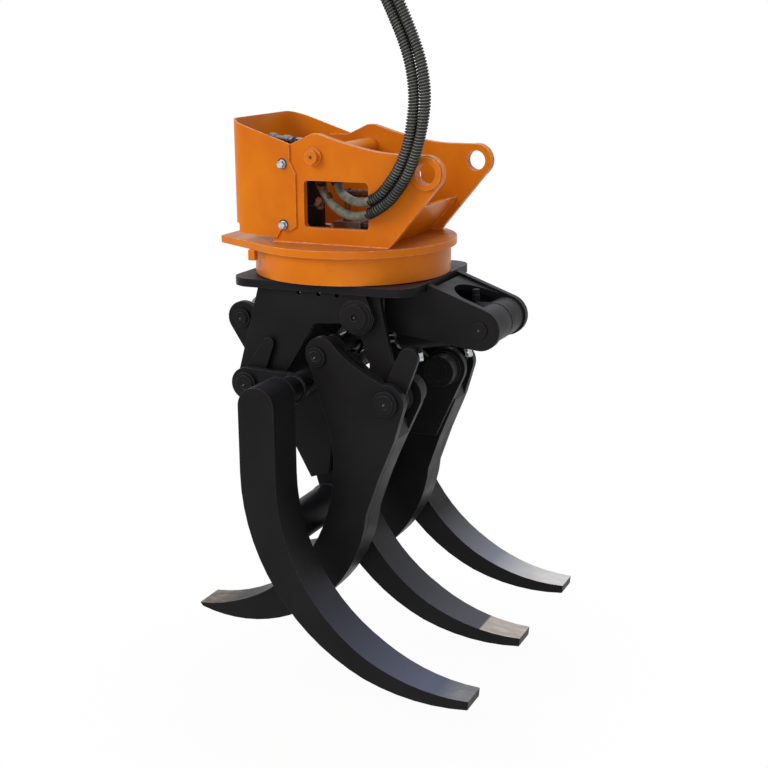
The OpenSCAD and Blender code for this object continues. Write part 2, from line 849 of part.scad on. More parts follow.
top_plate_t = 20;
top_plate_sink = 8;
slot_tip_share = 0.3;
slot_bulge_share = 0.7;
slot_end_gap = 2;
module arm_top_plate() color(black_paint) seat() {
    start = [table_x + arm_shoulder_out, arm_shoulder_rise - table_t];
    end = on_circle(base, arm_lobe_r, arm_end_angles[0]);
    fall = atan2(start[1] - end[1], end[0] - start[0]);
    foot = (base - start) * [cos(fall), -sin(fall)];
    drop = (base - start) * [sin(fall), cos(fall)];
    low = top_plate_sink + top_plate_t;
    reach = foot - sqrt(pow(eye_r + side_gap, 2) - pow(drop + low, 2));
    half = arm_y - arm_t;
    inset = low * tan(fall);
    side = curve(
        [reach * slot_tip_share, 0], [reach * slot_tip_share, half * slot_bulge_share],
        [reach, half - slot_end_gap]
    );
    translate([start[0], 0, start[1]])
        rotate([0, fall, 0])
            translate([0, 0, -low])
                linear_extrude(height = top_plate_t)
                    polygon(concat(
                        [[inset, -half], [reach, -half]],
                        [for (i = [len(side) - 1 : -1 : 0]) [side[i][0], -side[i][1]]],
                        [for (i = [1 : len(side) - 1]) side[i]],
                        [[reach, half], [inset, half]]
                    ));
}

base_end = 5;
nipple_r = 4;
module base_pin() color(black_paint) seat() {
    difference() {
        y_rod(base, base_r, -arm_y - base_end, 2 * (arm_y + base_end));
        both_sides() y_hole(base, nipple_r, arm_y, base_end);
    }
}

cap_r = 38;
cap_t = 10;
cap_gap = 1;
hub_inner_y = 108;
module pivot_pins() color(black_paint) seat() {
    y_rod(pivot_three, pivot_r, -outer_y - cap_gap, 2 * (outer_y + cap_gap));
    both_sides() {
        y_rod(pivot_three, cap_r, outer_y + cap_gap, cap_t);
        y_rod(pivot_two, pivot_r, hub_inner_y, side_y + cap_gap - hub_inner_y);
        y_rod(pivot_two, cap_r, side_y + cap_gap, cap_t);
    }
}

flag_foot_r = 36;
flag_three_top = [64, 125];
flag_three_top_r = 19;
flag_two_top = [54, 130];
flag_two_top_r = 31;
module keeper_flag(foot, top, top_r) {
    lean = atan2(top[1], top[0]);
    spread = acos((flag_foot_r - top_r) / norm(top));
    difference() {
        xz_plate(
            concat(
                arc(foot, flag_foot_r, lean + spread, lean + turn - spread),
                arc(foot + top, top_r, lean - spread, lean + spread)
            ),
            frame_y, flag_t
        );
        y_hole(foot, pivot_r, frame_y, flag_t);
    }
}

module keeper_flags() color(black_paint) seat() both_sides() {
    keeper_flag(pivot_three, flag_three_top, flag_three_top_r);
    keeper_flag(pivot_two, flag_two_top, flag_two_top_r);
}

collar_r = 58;
collar_t = 8;
tie_boss_r = 48;
tie_boss_t = 9;
tie_cap_r = 38;
tie_cap_t = 8;
tie_centre_r = 9;
module tie_shaft() color(black_paint) seat() both_sides() {
    face = frame_y + tie_boss_t;
    difference() {
        union() {
            y_rod(tie, tie_r, arm_y - arm_t, face - arm_y + arm_t);
            y_rod(tie, collar_r, frame_y - frame_t - leg_t - collar_t, collar_t);
            y_rod(tie, tie_boss_r, frame_y, tie_boss_t);
            y_rod(tie, tie_cap_r, face, tie_cap_t);
        }
        y_hole(tie, tie_centre_r, face, tie_cap_t);
    }
}

// Cylinders: drawn along +Z from the base pin, then turned toward the rod's end
gland_in = 30;
gland_out = 12;
gland_flange_r = 44;
end_wall = 8;
piston_t = 30;
stop_gap = 4;
rod_eye_r = 48;
rod_eye_w = 42;
eye_hole_three = 38;
eye_hole_two = 37;
port_boss_r = 12;
port_boss_out = 14;
module toward(a, b, y) {
    translate([a[0], y, a[1]])
        rotate([0, atan2(b[0] - a[0], b[1] - a[1]), 0])
            children();
}

module barrel(reach, ports_up) {
    difference() {
        union() {
            y_rod([0, 0], eye_r, -eye_w / 2, eye_w);
            z_rod([0, 0], barrel_r, 0, reach - gland_out);
            for (z = [eye_r + end_wall + port_boss_r, reach - gland_in - 2 * port_boss_r])
                translate([0, 0, z])
                    rotate([0, ports_up * quarter, 0])
                        cylinder(r = port_boss_r, h = barrel_r + port_boss_out, $fn = fine);
        }
        z_rod([0, 0], tube_r, eye_r + end_wall, reach + over);
        y_hole([0, 0], base_r + fit_gap, -eye_w / 2, eye_w);
    }
}

module gland(reach) {
    difference() {
        union() {
            z_rod([0, 0], tube_r, reach - gland_out - gland_in, reach - gland_out);
            z_rod([0, 0], gland_flange_r, reach - gland_out, reach);
        }
        z_hole([0, 0], rod_r + fit_gap, reach - gland_out - gland_in, reach);
    }
}

module rod(length, piston_z, hole_r) {
    difference() {
        union() {
            z_rod([0, 0], rod_r, piston_z + piston_t, length);
            y_rod([0, length], rod_eye_r, -rod_eye_w / 2, rod_eye_w);
        }
        y_hole([0, length], hole_r, -rod_eye_w / 2, rod_eye_w);
    }
}

module piston(piston_z) z_rod([0, 0], tube_r - fit_gap, piston_z, piston_z + piston_t);

piston_three_z = reach_three - gland_out - gland_in - stop_gap - piston_t;
piston_two_z = eye_r + end_wall + stop_gap;
module barrel_three() color(black_paint) seat() toward(base, ear, cyl_y) barrel(reach_three, 1);

module gland_three() color(steel) seat() toward(base, ear, cyl_y) gland(reach_three);

module rod_three() color(steel) seat()
    toward(base, ear, cyl_y) rod(norm(ear - base), piston_three_z, eye_hole_three);

module piston_three() color(bronze) seat() toward(base, ear, cyl_y) piston(piston_three_z);

module barrel_two() color(black_paint) seat() toward(base, shaft_c, -cyl_y) barrel(reach_two, -1);

module gland_two() color(steel) seat() toward(base, shaft_c, -cyl_y) gland(reach_two);

module rod_two() color(steel) seat()
    toward(base, shaft_c, -cyl_y) rod(norm(shaft_c - base), piston_two_z, eye_hole_two);

module piston_two() color(bronze) seat() toward(base, shaft_c, -cyl_y) piston(piston_two_z);

// Three-tine jaw
tube_in_r = 30;
tube_flange_r = 58;
tube_flange_t = 10;
pivot_tube_y = 215;
module pivot_tube_three() color(black_paint) seat() {
    y_ring(pivot_three, hub_r, pivot_r + fit_gap, -pivot_tube_y, 2 * pivot_tube_y);
}

crank_hub_r = 62;
crank_tube_r = 50;
crank_ear_angles = [216, 59];
crank_tube_angles = [59, -10];
crank_hub_angle = 207;
crank_drop = 340;
crank_foot_shares = [[0.06, -0.94], [-0.125, -1]];
rod_pin_r = 22;
module crank_plates() color(black_paint) seat() both_sides() {
    y_near = crank_y - crank_t;
    outline = concat(
        arc(ear, ear_r, crank_ear_angles[0], crank_ear_angles[1]),
        arc(tube_c, crank_tube_r, crank_tube_angles[0], crank_tube_angles[1]),
        [for (s = crank_foot_shares) tube_c + crank_drop * s],
        [on_circle(pivot_three, crank_hub_r, crank_hub_angle)]
    );
    difference() {
        xz_plate(outline, y_near, crank_t);
        y_hole(ear, rod_pin_r, y_near, crank_t);
        y_hole(pivot_three, hub_r, y_near, crank_t);
        y_hole(tube_c, cross_tube_r, y_near, crank_t);
    }
}

rod_pin_cap_r = 30;
module rod_pin() color(black_paint) seat() {
    y_rod(ear, rod_pin_r, -crank_y, 2 * crank_y);
    both_sides() y_rod(ear, rod_pin_cap_r, crank_y, cap_t);
}

outer_hub_r = 50;
outer_tube_r = 46;
module outer_plates() color(black_paint) seat() both_sides() {
    y_near = outer_y - outer_t;
    outline = concat(
        arc(pivot_three, outer_hub_r, quarter, turn - quarter),
        arc(tube_c, outer_tube_r, -quarter, quarter)
    );
    difference() {
        xz_plate(outline, y_near, outer_t);
        y_hole(pivot_three, pivot_r + fit_gap, y_near, outer_t);
        y_hole(tube_c, cross_tube_r, y_near, outer_t);
    }
}

module cross_tube() color(black_paint) seat() {
    y_end = tine_pitch - tine_w / 2;
    y_ring(tube_c, cross_tube_r, tube_in_r, -y_end, 2 * y_end);
    both_sides()
        y_ring(tube_c, tube_flange_r, cross_tube_r, y_end - tube_flange_t, tube_flange_t);
}

tie_drop = 425;
tie_wall = 12;
tie_c = tube_c - [0, tie_drop];
module tie_tube() color(black_paint) seat() {
    y_end = tine_pitch - tine_w / 2;
    y_ring(tie_c, tie_tube_r, tie_tube_r - tie_wall, -y_end, 2 * y_end);
}

tine_root_r = 58;
tine_out_r = 627;
tine_slim = 56;
tine_in_r = tine_out_r - tine_slim;
out_bend_drop = 199;
bend_lag = 24;
in_bend_drop = out_bend_drop + bend_lag;
out_end_angle = 276.6;
in_end_angle = 271.5;
taper_start = 320;
doubler_shares = [[-0.5, -0.25], [0.68, -0.88]];
module tine() {
    out_c = tube_c + [tine_out_r - tine_root_r, -out_bend_drop];
    in_c = tube_c + [tine_root_r + tine_in_r, -in_bend_drop];
    tip = on_circle(in_c, tine_in_r, in_end_angle);
    profile = concat(
        arc(tube_c, tine_root_r, 0, half_turn),
        arc(out_c, tine_out_r, half_turn, out_end_angle),
        arc(in_c, tine_in_r, in_end_angle, half_turn)
    );
    intersection() {
        xz_plate(profile, -tine_w / 2, tine_w);
        translate([0, 0, tip[1] - tine_root_r])
            linear_extrude(height = tube_c[1] - tip[1] + 2 * tine_root_r)
                polygon([
                    [tube_c[0] - tine_w, -tine_w / 2], [tip[0] - taper_start, -tine_w / 2],
                    [tip[0] + over, -tip_w / 2], [tip[0] + over, tip_w / 2],
                    [tip[0] - taper_start, tine_w / 2], [tube_c[0] - tine_w, tine_w / 2]
                ]);
    }
}

module tine_front() color(black_paint) seat() translate([0, -tine_pitch, 0]) tine();

module tine_rear() color(black_paint) seat() translate([0, tine_pitch, 0]) tine();

module tine_middle() color(black_paint) seat() {
    y_end = crank_y - crank_t;
    difference() {
        union() {
            tine();
            translate([
                tube_c[0] + tine_root_r * doubler_shares[0][0], -y_end,
                tube_c[1] + crank_drop * doubler_shares[1][1]
            ])
                cube([
                    tine_root_r * (doubler_shares[1][0] - doubler_shares[0][0]), 2 * y_end,
                    crank_drop * (doubler_shares[0][1] - doubler_shares[1][1])
                ]);
        }
        y_hole(tube_c, cross_tube_r, -tine_w / 2, tine_w);
        y_hole(tie_c, tie_tube_r, -tine_w / 2, tine_w);
    }
}

// Two-tine jaw
two_depth = 754;
shaft_lobe_shift = [13, 10];
shaft_lobe = shaft_c + shaft_lobe_shift;
shaft_lobe_r = 50;
shaft_lobe_angles = [208, 40];
pivot_lobe_angles = [100, -15];
top_sag_shares = [-0.163, 0.139];
back_edge_shares = [[0.034, -0.147], [-0.034, -0.31]];
out_sweep_shares = [-0.691, -0.399, 0.606];
in_sweep_shares = [-0.92, -0.275, 0.692];
out_sweep_angles = [-6, -106];
in_sweep_angles = [-86, 12];
function two_place(s) = pivot_two + two_depth * [s[0], s[1]];
function out_sweep(a0, a1) = arc(two_place(out_sweep_shares), two_depth * out_sweep_shares[2], a0, a1);
function in_sweep(a0, a1) = arc(two_place(in_sweep_shares), two_depth * in_sweep_shares[2], a0, a1);
module side_plate(rear) {
    y_near = rear ? side_y - side_t : -side_y;
    lobe_right = on_circle(shaft_lobe, shaft_lobe_r, shaft_lobe_angles[1]);
    lobe_top = on_circle(pivot_two, side_lobe_r, pivot_lobe_angles[0]);
    outline = concat(
        arc(pivot_two, side_lobe_r, pivot_lobe_angles[0], pivot_lobe_angles[1]),
        [for (s = back_edge_shares) two_place(s)],
        out_sweep(out_sweep_angles[0], out_sweep_angles[1]),
        in_sweep(in_sweep_angles[0], in_sweep_angles[1]),
        arc(shaft_lobe, shaft_lobe_r, shaft_lobe_angles[0], shaft_lobe_angles[1]),
        curve(lobe_right, two_place(top_sag_shares), lobe_top)
    );
    difference() {
        xz_plate(outline, y_near, side_t);
        y_hole(pivot_two, pivot_r + fit_gap, y_near, side_t);
        y_hole(shaft_c, shaft_r, y_near, side_t);
    }
}

module side_plate_front() color(black_paint) seat() side_plate(false);

module side_plate_rear() color(black_paint) seat() side_plate(true);

box_gap_r = 66;
box_gap_angles = [205, 290];
box_shoulder_shares = [-0.233, -0.093];
box_in_angle = 5;
module side_boxes() color(black_paint) seat() both_sides() {
    outline = concat(
        [for (s = back_edge_shares) two_place(s)],
        out_sweep(out_sweep_angles[0], out_sweep_angles[1]),
        in_sweep(in_sweep_angles[0], box_in_angle),
        [two_place(box_shoulder_shares)],
        arc(pivot_two, box_gap_r, box_gap_angles[0], box_gap_angles[1])
    );
    xz_plate(outline, box_y, side_y - side_t - box_y);
}

inner_angles = [-25, 156];
inner_lobe_angles = [-2, 205];
inner_lobe_r = 42;
inner_foot_shares = [[-0.216, -0.146], [-0.196, -0.305], [-0.044, -0.305]];
two_hub_r = 50;
module inner_plates() color(black_paint) seat() both_sides() {
    outline = concat(
        arc(pivot_two, box_gap_r, inner_angles[0], inner_angles[1]),
        arc(shaft_c, inner_lobe_r, inner_lobe_angles[0], inner_lobe_angles[1]),
        [for (s = inner_foot_shares) two_place(s)]
    );
    difference() {
        xz_plate(outline, box_y - inner_t, inner_t);
        y_hole(pivot_two, pivot_r + fit_gap, box_y - inner_t, inner_t);
        y_hole(shaft_c, shaft_r, box_y - inner_t, inner_t);
    }
}

module pivot_hubs_two() color(black_paint) seat() both_sides() {
    y_ring(pivot_two, two_hub_r, pivot_r + fit_gap, hub_inner_y, box_y - inner_t - hub_inner_y);
}

shaft_cap_r = 30;
module rod_shaft() color(black_paint) seat() {
    y_rod(shaft_c, shaft_r, -side_y, 2 * side_y);
    both_sides() y_rod(shaft_c, shaft_cap_r, side_y, cap_t);
}

head_flange();
ring_housing();
cheek_front();
cheek_rear();
cross_plate();
stick_bosses();
guard_sheet();
guard_bolts();
link_pin();
slew_gearbox();
slew_motor();
valve_block();
transfer_tube();
bearing_outer_race();
race_bolts();
swivel_core();
lube_block();
dust_seal();
hose_inner();
hose_outer();
hose_couplers();
drive_pinion();
turntable_plate();
inner_gear_ring();
bearing_balls();
gear_bolts();
swivel_sleeve();
frame_front();
frame_rear();
frame_legs();
frame_web();
arm_plates();
arm_top_plate();
base_pin();
pivot_pins();
keeper_flags();
tie_shaft();
barrel_three();
gland_three();
rod_three();
piston_three();
barrel_two();
gland_two();
rod_two();
piston_two();
crank_plates();
pivot_tube_three();
outer_plates();
cross_tube();
tie_tube();
tine_front();
tine_middle();
tine_rear();
rod_pin();
side_plate_front();
side_plate_rear();
side_boxes();
inner_plates();
pivot_hubs_two();
rod_shaft();
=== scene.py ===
import json
import math

import bmesh
import bpy
from mathutils import Matrix, Vector


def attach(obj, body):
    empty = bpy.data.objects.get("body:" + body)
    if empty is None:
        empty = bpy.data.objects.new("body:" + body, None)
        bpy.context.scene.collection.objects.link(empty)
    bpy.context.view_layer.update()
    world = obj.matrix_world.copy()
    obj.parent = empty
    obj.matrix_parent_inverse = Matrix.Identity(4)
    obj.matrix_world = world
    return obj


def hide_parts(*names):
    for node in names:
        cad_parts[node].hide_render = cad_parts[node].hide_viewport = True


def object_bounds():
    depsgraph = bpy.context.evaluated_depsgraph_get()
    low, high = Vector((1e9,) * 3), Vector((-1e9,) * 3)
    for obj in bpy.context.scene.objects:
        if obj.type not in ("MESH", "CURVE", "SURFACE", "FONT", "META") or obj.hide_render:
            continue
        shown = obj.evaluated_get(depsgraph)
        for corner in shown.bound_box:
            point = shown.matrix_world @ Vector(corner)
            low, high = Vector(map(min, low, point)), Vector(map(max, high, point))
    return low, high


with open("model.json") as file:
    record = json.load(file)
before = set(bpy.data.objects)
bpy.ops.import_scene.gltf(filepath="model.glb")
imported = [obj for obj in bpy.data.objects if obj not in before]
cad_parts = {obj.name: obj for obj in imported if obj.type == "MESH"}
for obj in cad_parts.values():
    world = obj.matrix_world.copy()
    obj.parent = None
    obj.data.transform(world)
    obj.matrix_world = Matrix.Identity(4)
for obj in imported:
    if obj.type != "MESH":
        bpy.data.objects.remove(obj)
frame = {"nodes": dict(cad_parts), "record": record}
cad_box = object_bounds()

# Lengths below are in millimetres from the centre of the slew ring's underside,
# X toward the carrier pin and Z up; place() turns them into the frame's metres.
MM = 0.001
STICK_PIN = Vector((329, 0, 326))
ACROSS = Vector((0, 1, 0))
HANDS = (-1, 1)

# The pins and tubes that run across the grapple, as (x, z)
LINK_PIN = (-23, 362)
PIVOT_THREE = (-228, -318)
PIVOT_TWO = (238, -330)
BASE_PIN = (461, -129)
ROD_EAR = (-341, -160)
ROD_SHAFT = (18, -210)
TIE = (122, -93)
CROSS_TUBE = (-70, -320)
TIE_TUBE = (-70, -745)


def place(x, y, z):
    return (Vector((x, y, z)) - STICK_PIN) * MM


# Camera: the photograph's viewing angle, from a place in the frame's metres
CAMERA_AT = (1.497, -3.843, 0.426)
CAMERA_AZIMUTH = math.radians(24.199)
CAMERA_PITCH = math.radians(14.743)
CAMERA_ROLL = math.radians(-0.488)
CAMERA_LENS = 65.42
CAMERA_SENSOR = 36


def make_camera():
    camera = bpy.data.objects.new("camera", bpy.data.cameras.new("camera"))
    bpy.context.collection.objects.link(camera)
    bpy.context.scene.camera = camera
    camera.data.lens = CAMERA_LENS
    camera.data.sensor_width = CAMERA_SENSOR
    forward = Vector((
        -math.sin(CAMERA_AZIMUTH) * math.cos(CAMERA_PITCH),
        math.cos(CAMERA_AZIMUTH) * math.cos(CAMERA_PITCH),
        -math.sin(CAMERA_PITCH)))
    right = Vector((math.cos(CAMERA_AZIMUTH), math.sin(CAMERA_AZIMUTH), 0))
    up = right.cross(forward)
    rolled_right = math.cos(CAMERA_ROLL) * right + math.sin(CAMERA_ROLL) * up
    rolled_up = math.cos(CAMERA_ROLL) * up - math.sin(CAMERA_ROLL) * right
    turn = Matrix((rolled_right, rolled_up, -forward)).transposed()
    camera.matrix_world = Matrix.Translation(CAMERA_AT) @ turn.to_4x4()


# Finishes
def linear(hex_colour):
    """An sRGB hex colour as the shader's linear RGBA."""
    channels = [int(hex_colour[i:i + 2], 16) / 255 for i in (1, 3, 5)]
    return tuple(
        c / 12.92 if c <= 0.04045 else ((c + 0.055) / 1.055) ** 2.4 for c in channels) + (1,)


def add(tree, kind, inputs=None, **settings):
    """Adds a node with its settings; an input is a value or the socket that feeds it."""
    node = tree.nodes.new(kind)
    for name, value in settings.items():
        setattr(node, name, value)
    for name, value in (inputs or {}).items():
        if isinstance(value, bpy.types.NodeSocket):
            tree.links.new(value, node.inputs[name])
        else:
            node.inputs[name].default_value = value
    return node


# The sockets of a colour mix: its share, what lies under, what lies over, and the result
SHARE, UNDER, OVER, MIXED = 0, 6, 7, 2


def new_finish(name):
    """A new material, its empty tree and its coordinates."""
    material = bpy.data.materials.new(name)
    material.use_nodes = True
    tree = material.node_tree
    tree.nodes.clear()
    return material, tree, add(tree, "ShaderNodeTexCoord").outputs


def finished(material, tree, **inputs):
    """The material with its shader, whose inputs are named here with _ for a space."""
    shader = add(tree, "ShaderNodeBsdfPrincipled", {
        name.replace("_", " "): value for name, value in inputs.items()})
    add(tree, "ShaderNodeOutputMaterial", {"Surface": shader.outputs["BSDF"]})
    return material


def patchy(tree, where, size_mm, low, high, detail=3.0):
    """Soft patches about size_mm across, from low to high."""
    cloud = add(tree, "ShaderNodeTexNoise", {
        "Vector": where, "Scale": 1 / (size_mm * MM), "Detail": detail})
    return add(tree, "ShaderNodeMapRange", {
        "Value": cloud.outputs["Fac"], "From Min": 0.32, "From Max": 0.68,
        "To Min": low, "To Max": high}).outputs["Result"]


def mottled(tree, where, first, second, size_mm, detail=3.0):
    """Two hex colours in soft patches about size_mm across."""
    return add(tree, "ShaderNodeMix", {
        SHARE: patchy(tree, where, size_mm, low=0, high=1, detail=detail),
        UNDER: linear(first), OVER: linear(second)}, data_type="RGBA").outputs[MIXED]


def grained(tree, where, grain_mm, depth_mm, detail=2.0, under=None):
    """The fine relief of a surface, as a normal."""
    grain = add(tree, "ShaderNodeTexNoise", {
        "Vector": where, "Scale": 1 / (grain_mm * MM), "Detail": detail})
    relief = {"Height": grain.outputs["Fac"], "Distance": depth_mm * MM, "Strength": 0.6}
    if under is not None:
        relief["Normal"] = under
    return add(tree, "ShaderNodeBump", relief).outputs["Normal"]


# Edge mask for rubbed paint and for a painted highlight along the edges
def worn_and_highlit_edges(tree, where, width_mm, patch_mm):
    """1 along outer edges, in patches: the rounded normal leaves the true one there."""
    rounded = add(tree, "ShaderNodeBevel", {"Radius": width_mm * MM}, samples=6).outputs["Normal"]
    true = add(tree, "ShaderNodeNewGeometry").outputs["True Normal"]
    agree = add(tree, "ShaderNodeVectorMath", {
        0: rounded, 1: true}, operation="DOT_PRODUCT").outputs["Value"]
    edge = add(tree, "ShaderNodeMapRange", {
        "Value": agree, "From Min": 0.985, "From Max": 0.88}).outputs["Result"]
    return add(tree, "ShaderNodeMath", {
        0: edge,
        1: patchy(tree, where, patch_mm, low=0.1, high=1)}, operation="MULTIPLY").outputs[0]


def along_tine(tree, where, start, end):
    """0 to 1 from one x, in mm, to another."""
    along = add(tree, "ShaderNodeSeparateXYZ", {0: where}).outputs["X"]
    return add(tree, "ShaderNodeMapRange", {
        "Value": along, "From Min": place(start, 0, 0).x,
        "From Max": place(end, 0, 0).x}).outputs["Result"]


def timber_wear_and_sheen(tree, where, up, paint, painted_sheen, bare):
    """Paint on the faces that look up, with a painted sheen of the sky where timber polished it, then
    taken off by timber.

    Of the last two arguments, the first gives where along X the painted sheen starts and ends and its
    colour; bare is where it starts and ends reaching the steel, how ragged that is, and the steel's
    two colours."""
    looks_up = add(tree, "ShaderNodeMapRange", {
        "Value": up, "From Min": 0.1, "From Max": 0.6}).outputs["Result"]
    start, end, sheen_colour = painted_sheen
    # Painted sheen: colour that stands for the sky's reflection on the polished faces that look up
    sheen_share = add(tree, "ShaderNodeMath", {
        0: along_tine(tree, where, start, end), 1: looks_up}, operation="MULTIPLY").outputs[0]
    colour = add(tree, "ShaderNodeMix", {
        SHARE: sheen_share, UNDER: paint, OVER: linear(sheen_colour)}, data_type="RGBA").outputs[MIXED]
    start, end, ragged, pale, dark = bare
    torn = add(tree, "ShaderNodeMath", {
        0: along_tine(tree, where, start, end),
        1: patchy(tree, where, size_mm=30, low=1 - ragged, high=1 + ragged, detail=5)},
        operation="MULTIPLY").outputs[0]
    gone = add(tree, "ShaderNodeMath", {
        0: torn, 1: looks_up}, operation="MULTIPLY", use_clamp=True).outputs[0]
    scratches = add(tree, "ShaderNodeMapping", {
        "Vector": where, "Scale": (0.3, 1, 1)}).outputs["Vector"]
    return add(tree, "ShaderNodeMix", {
        SHARE: gone, UNDER: colour, OVER: mottled(tree, scratches, pale, dark, size_mm=24, detail=4)},
        data_type="RGBA").outputs[MIXED]


def enamel(name, paint, cloud, edge, dust_and_sheen, dust_and_sheen_share, rough, shine, painted_sheen=None, bare=None):
    """Paint sprayed on plate, with dust (orange) and a painted sheen (black) where it looks up, and
    edges rubbed paler and painted with a highlight that is strongest where they look up.
    """
    material, tree, coords = new_finish(name)
    where = coords["Object"]
    up = add(tree, "ShaderNodeSeparateXYZ", {0: coords["Normal"]}).outputs["Z"]
    # Where it looks up: dust on the orange, a painted blue-grey sheen of the sky on the black
    level = add(tree, "ShaderNodeMapRange", {
        "Value": up, "From Min": 0.6, "From Max": 0.97, "To Max": dust_and_sheen_share}).outputs["Result"]
    dust_and_sheen_patches = add(tree, "ShaderNodeMath", {
        0: level, 1: patchy(tree, where, size_mm=60, low=0.35, high=1, detail=5)},
        operation="MULTIPLY").outputs[0]
    colour = add(tree, "ShaderNodeMix", {
        SHARE: dust_and_sheen_patches, UNDER: mottled(tree, where, paint, cloud, size_mm=170),
        OVER: linear(dust_and_sheen)}, data_type="RGBA").outputs[MIXED]
    # Painted highlight: edges that look up are painted palest
    highlight_where_up = add(tree, "ShaderNodeMapRange", {
        "Value": up, "From Max": 0.6, "To Min": 0.35}).outputs["Result"]
    pale = add(tree, "ShaderNodeMath", {
        0: worn_and_highlit_edges(tree, where, width_mm=4, patch_mm=14),
        1: highlight_where_up}, operation="MULTIPLY").outputs[0]
    colour = add(tree, "ShaderNodeMix", {
        SHARE: pale, UNDER: colour, OVER: linear(edge)}, data_type="RGBA").outputs[MIXED]
    # The tines' painted sheen, then their bare worn steel
    if painted_sheen:
        colour = timber_wear_and_sheen(tree, where, up, colour, painted_sheen, bare)
    # The paint's orange peel is about 1 mm across; it is drawn 3 mm across so that it shows,
    # over the slow waves of rolled plate
    peel = grained(tree, where, grain_mm=3, depth_mm=0.05)
    return finished(
        material, tree, Base_Color=colour, Specular_IOR_Level=shine,
        Roughness=patchy(tree, where, size_mm=60, low=rough, high=rough + 0.1, detail=4),
        Normal=grained(tree, where, grain_mm=95, depth_mm=0.7, under=peel))


# Two enamels: the paint and its paler clouds, its edge colour (rubbed paint and a painted highlight),
# the dust on the orange and the painted sheen on the black where they look up and how much of it
# shows, the least roughness and how strongly it shines
ORANGE = {"paint": "#c66604", "cloud": "#d37709", "edge": "#ffe2c0", "dust_and_sheen": "#8d6247",
          "dust_and_sheen_share": 0.6, "rough": 0.32, "shine": 0.17}
BLACK = {"paint": "#131214", "cloud": "#1a191b", "edge": "#55555a", "dust_and_sheen": "#302f38",
         "dust_and_sheen_share": 0.5, "rough": 0.38, "shine": 0.1}


def orange_enamel():
    # Orange machine enamel, sprayed: satin, brown dust on the flange, edges a little rubbed and
    # painted with a pale highlight, strongest where they look up
    return enamel("orange_enamel", **ORANGE)


def black_enamel():
    # Black machine enamel, sprayed: satin, a painted blue-grey sheen where it looks up, edges rubbed
    # and painted with a dark grey highlight
    return enamel("black_enamel", **BLACK)


def sheen_and_wear_enamel_front():
    # Black enamel polished by timber, with a painted blue-grey sheen of the sky along it, the steel
    # just showing at the tip
    return enamel("sheen_and_wear_enamel_front", **BLACK, painted_sheen=(60, 430, "#5b6176"),
                  bare=(470, 540, 0.3, "#8d8d93", "#77767b"))


def sheen_and_wear_enamel_middle():
    # Black enamel with a painted grey sheen along it, then a clean line where the bare pale steel
    # starts
    return enamel("sheen_and_wear_enamel_middle", **BLACK, painted_sheen=(40, 380, "#565860"),
                  bare=(441, 447, 0.1, "#d2c9bf", "#b3a79e"))


def sheen_and_wear_enamel_rear():
    # Black enamel with a painted pale blue-grey sheen, worn away little by little to near white steel
    return enamel("sheen_and_wear_enamel_rear", **BLACK, painted_sheen=(120, 380, "#989ca6"),
                  bare=(320, 500, 0.1, "#f2efea", "#e6dfd9"))


def sheen_and_wear_enamel_two():
    # Black enamel of the two tines with a faint painted sheen, scraped to brownish steel at the tips
    # only
    return enamel("sheen_and_wear_enamel_two", **BLACK, painted_sheen=(-180, -380, "#35343a"),
                  bare=(-290, -390, 0.5, "#9b9186", "#6b635c"))


def worn_steel():
    # Steel nipples with their plating worn off: grey, satin, brown in patches
    material, tree, coords = new_finish("worn_steel")
    where = coords["Object"]
    return finished(
        material, tree, Metallic=0.6,
        Base_Color=mottled(tree, where, "#77787b", "#56524d", size_mm=22, detail=5),
        Roughness=patchy(tree, where, size_mm=12, low=0.42, high=0.6),
        Normal=grained(tree, where, grain_mm=2, depth_mm=0.08))


def machined_steel():
    # Turned mild steel, lightly oiled: a soft uneven gloss that runs round. The tool's marks are
    # drawn 3 mm apart so that they show
    material, tree, coords = new_finish("machined_steel")
    where = coords["Object"]
    lay = add(tree, "ShaderNodeMapping", {"Vector": where, "Scale": (1, 0.08, 1)}).outputs["Vector"]
    return finished(
        material, tree, Metallic=1.0,
        Base_Color=mottled(tree, where, "#8e9094", "#6f6e6d", size_mm=40),
        Roughness=patchy(tree, lay, size_mm=3, low=0.28, high=0.44),
        Normal=grained(tree, lay, grain_mm=3, depth_mm=0.05, detail=3))


def zinc_plate():
    # Bright zinc plated fasteners: pale, faintly blue, soft gloss
    material, tree, coords = new_finish("zinc_plate")
    where = coords["Object"]
    return finished(
        material, tree, Metallic=0.9,
        Base_Color=mottled(tree, where, "#c9d0d8", "#9ba1a8", size_mm=9),
        Roughness=patchy(tree, where, size_mm=6, low=0.25, high=0.4))


def hard_chrome():
    # Hard chromed and polished piston rod: a sharp gloss under a film of oil and dust
    material, tree, coords = new_finish("hard_chrome")
    where = coords["Object"]
    return finished(
        material, tree, Metallic=1.0,
        Base_Color=mottled(tree, where, "#85888c", "#6b6a68", size_mm=35),
        Roughness=patchy(tree, where, size_mm=30, low=0.1, high=0.22))


def dull_brass():
    # Machined brass and copper fittings, brown with handling and grease
    material, tree, coords = new_finish("dull_brass")
    where = coords["Object"]
    return finished(
        material, tree, Metallic=0.7,
        Base_Color=mottled(tree, where, "#7c4f33", "#4c3323", size_mm=12),
        Roughness=patchy(tree, where, size_mm=7, low=0.36, high=0.55))


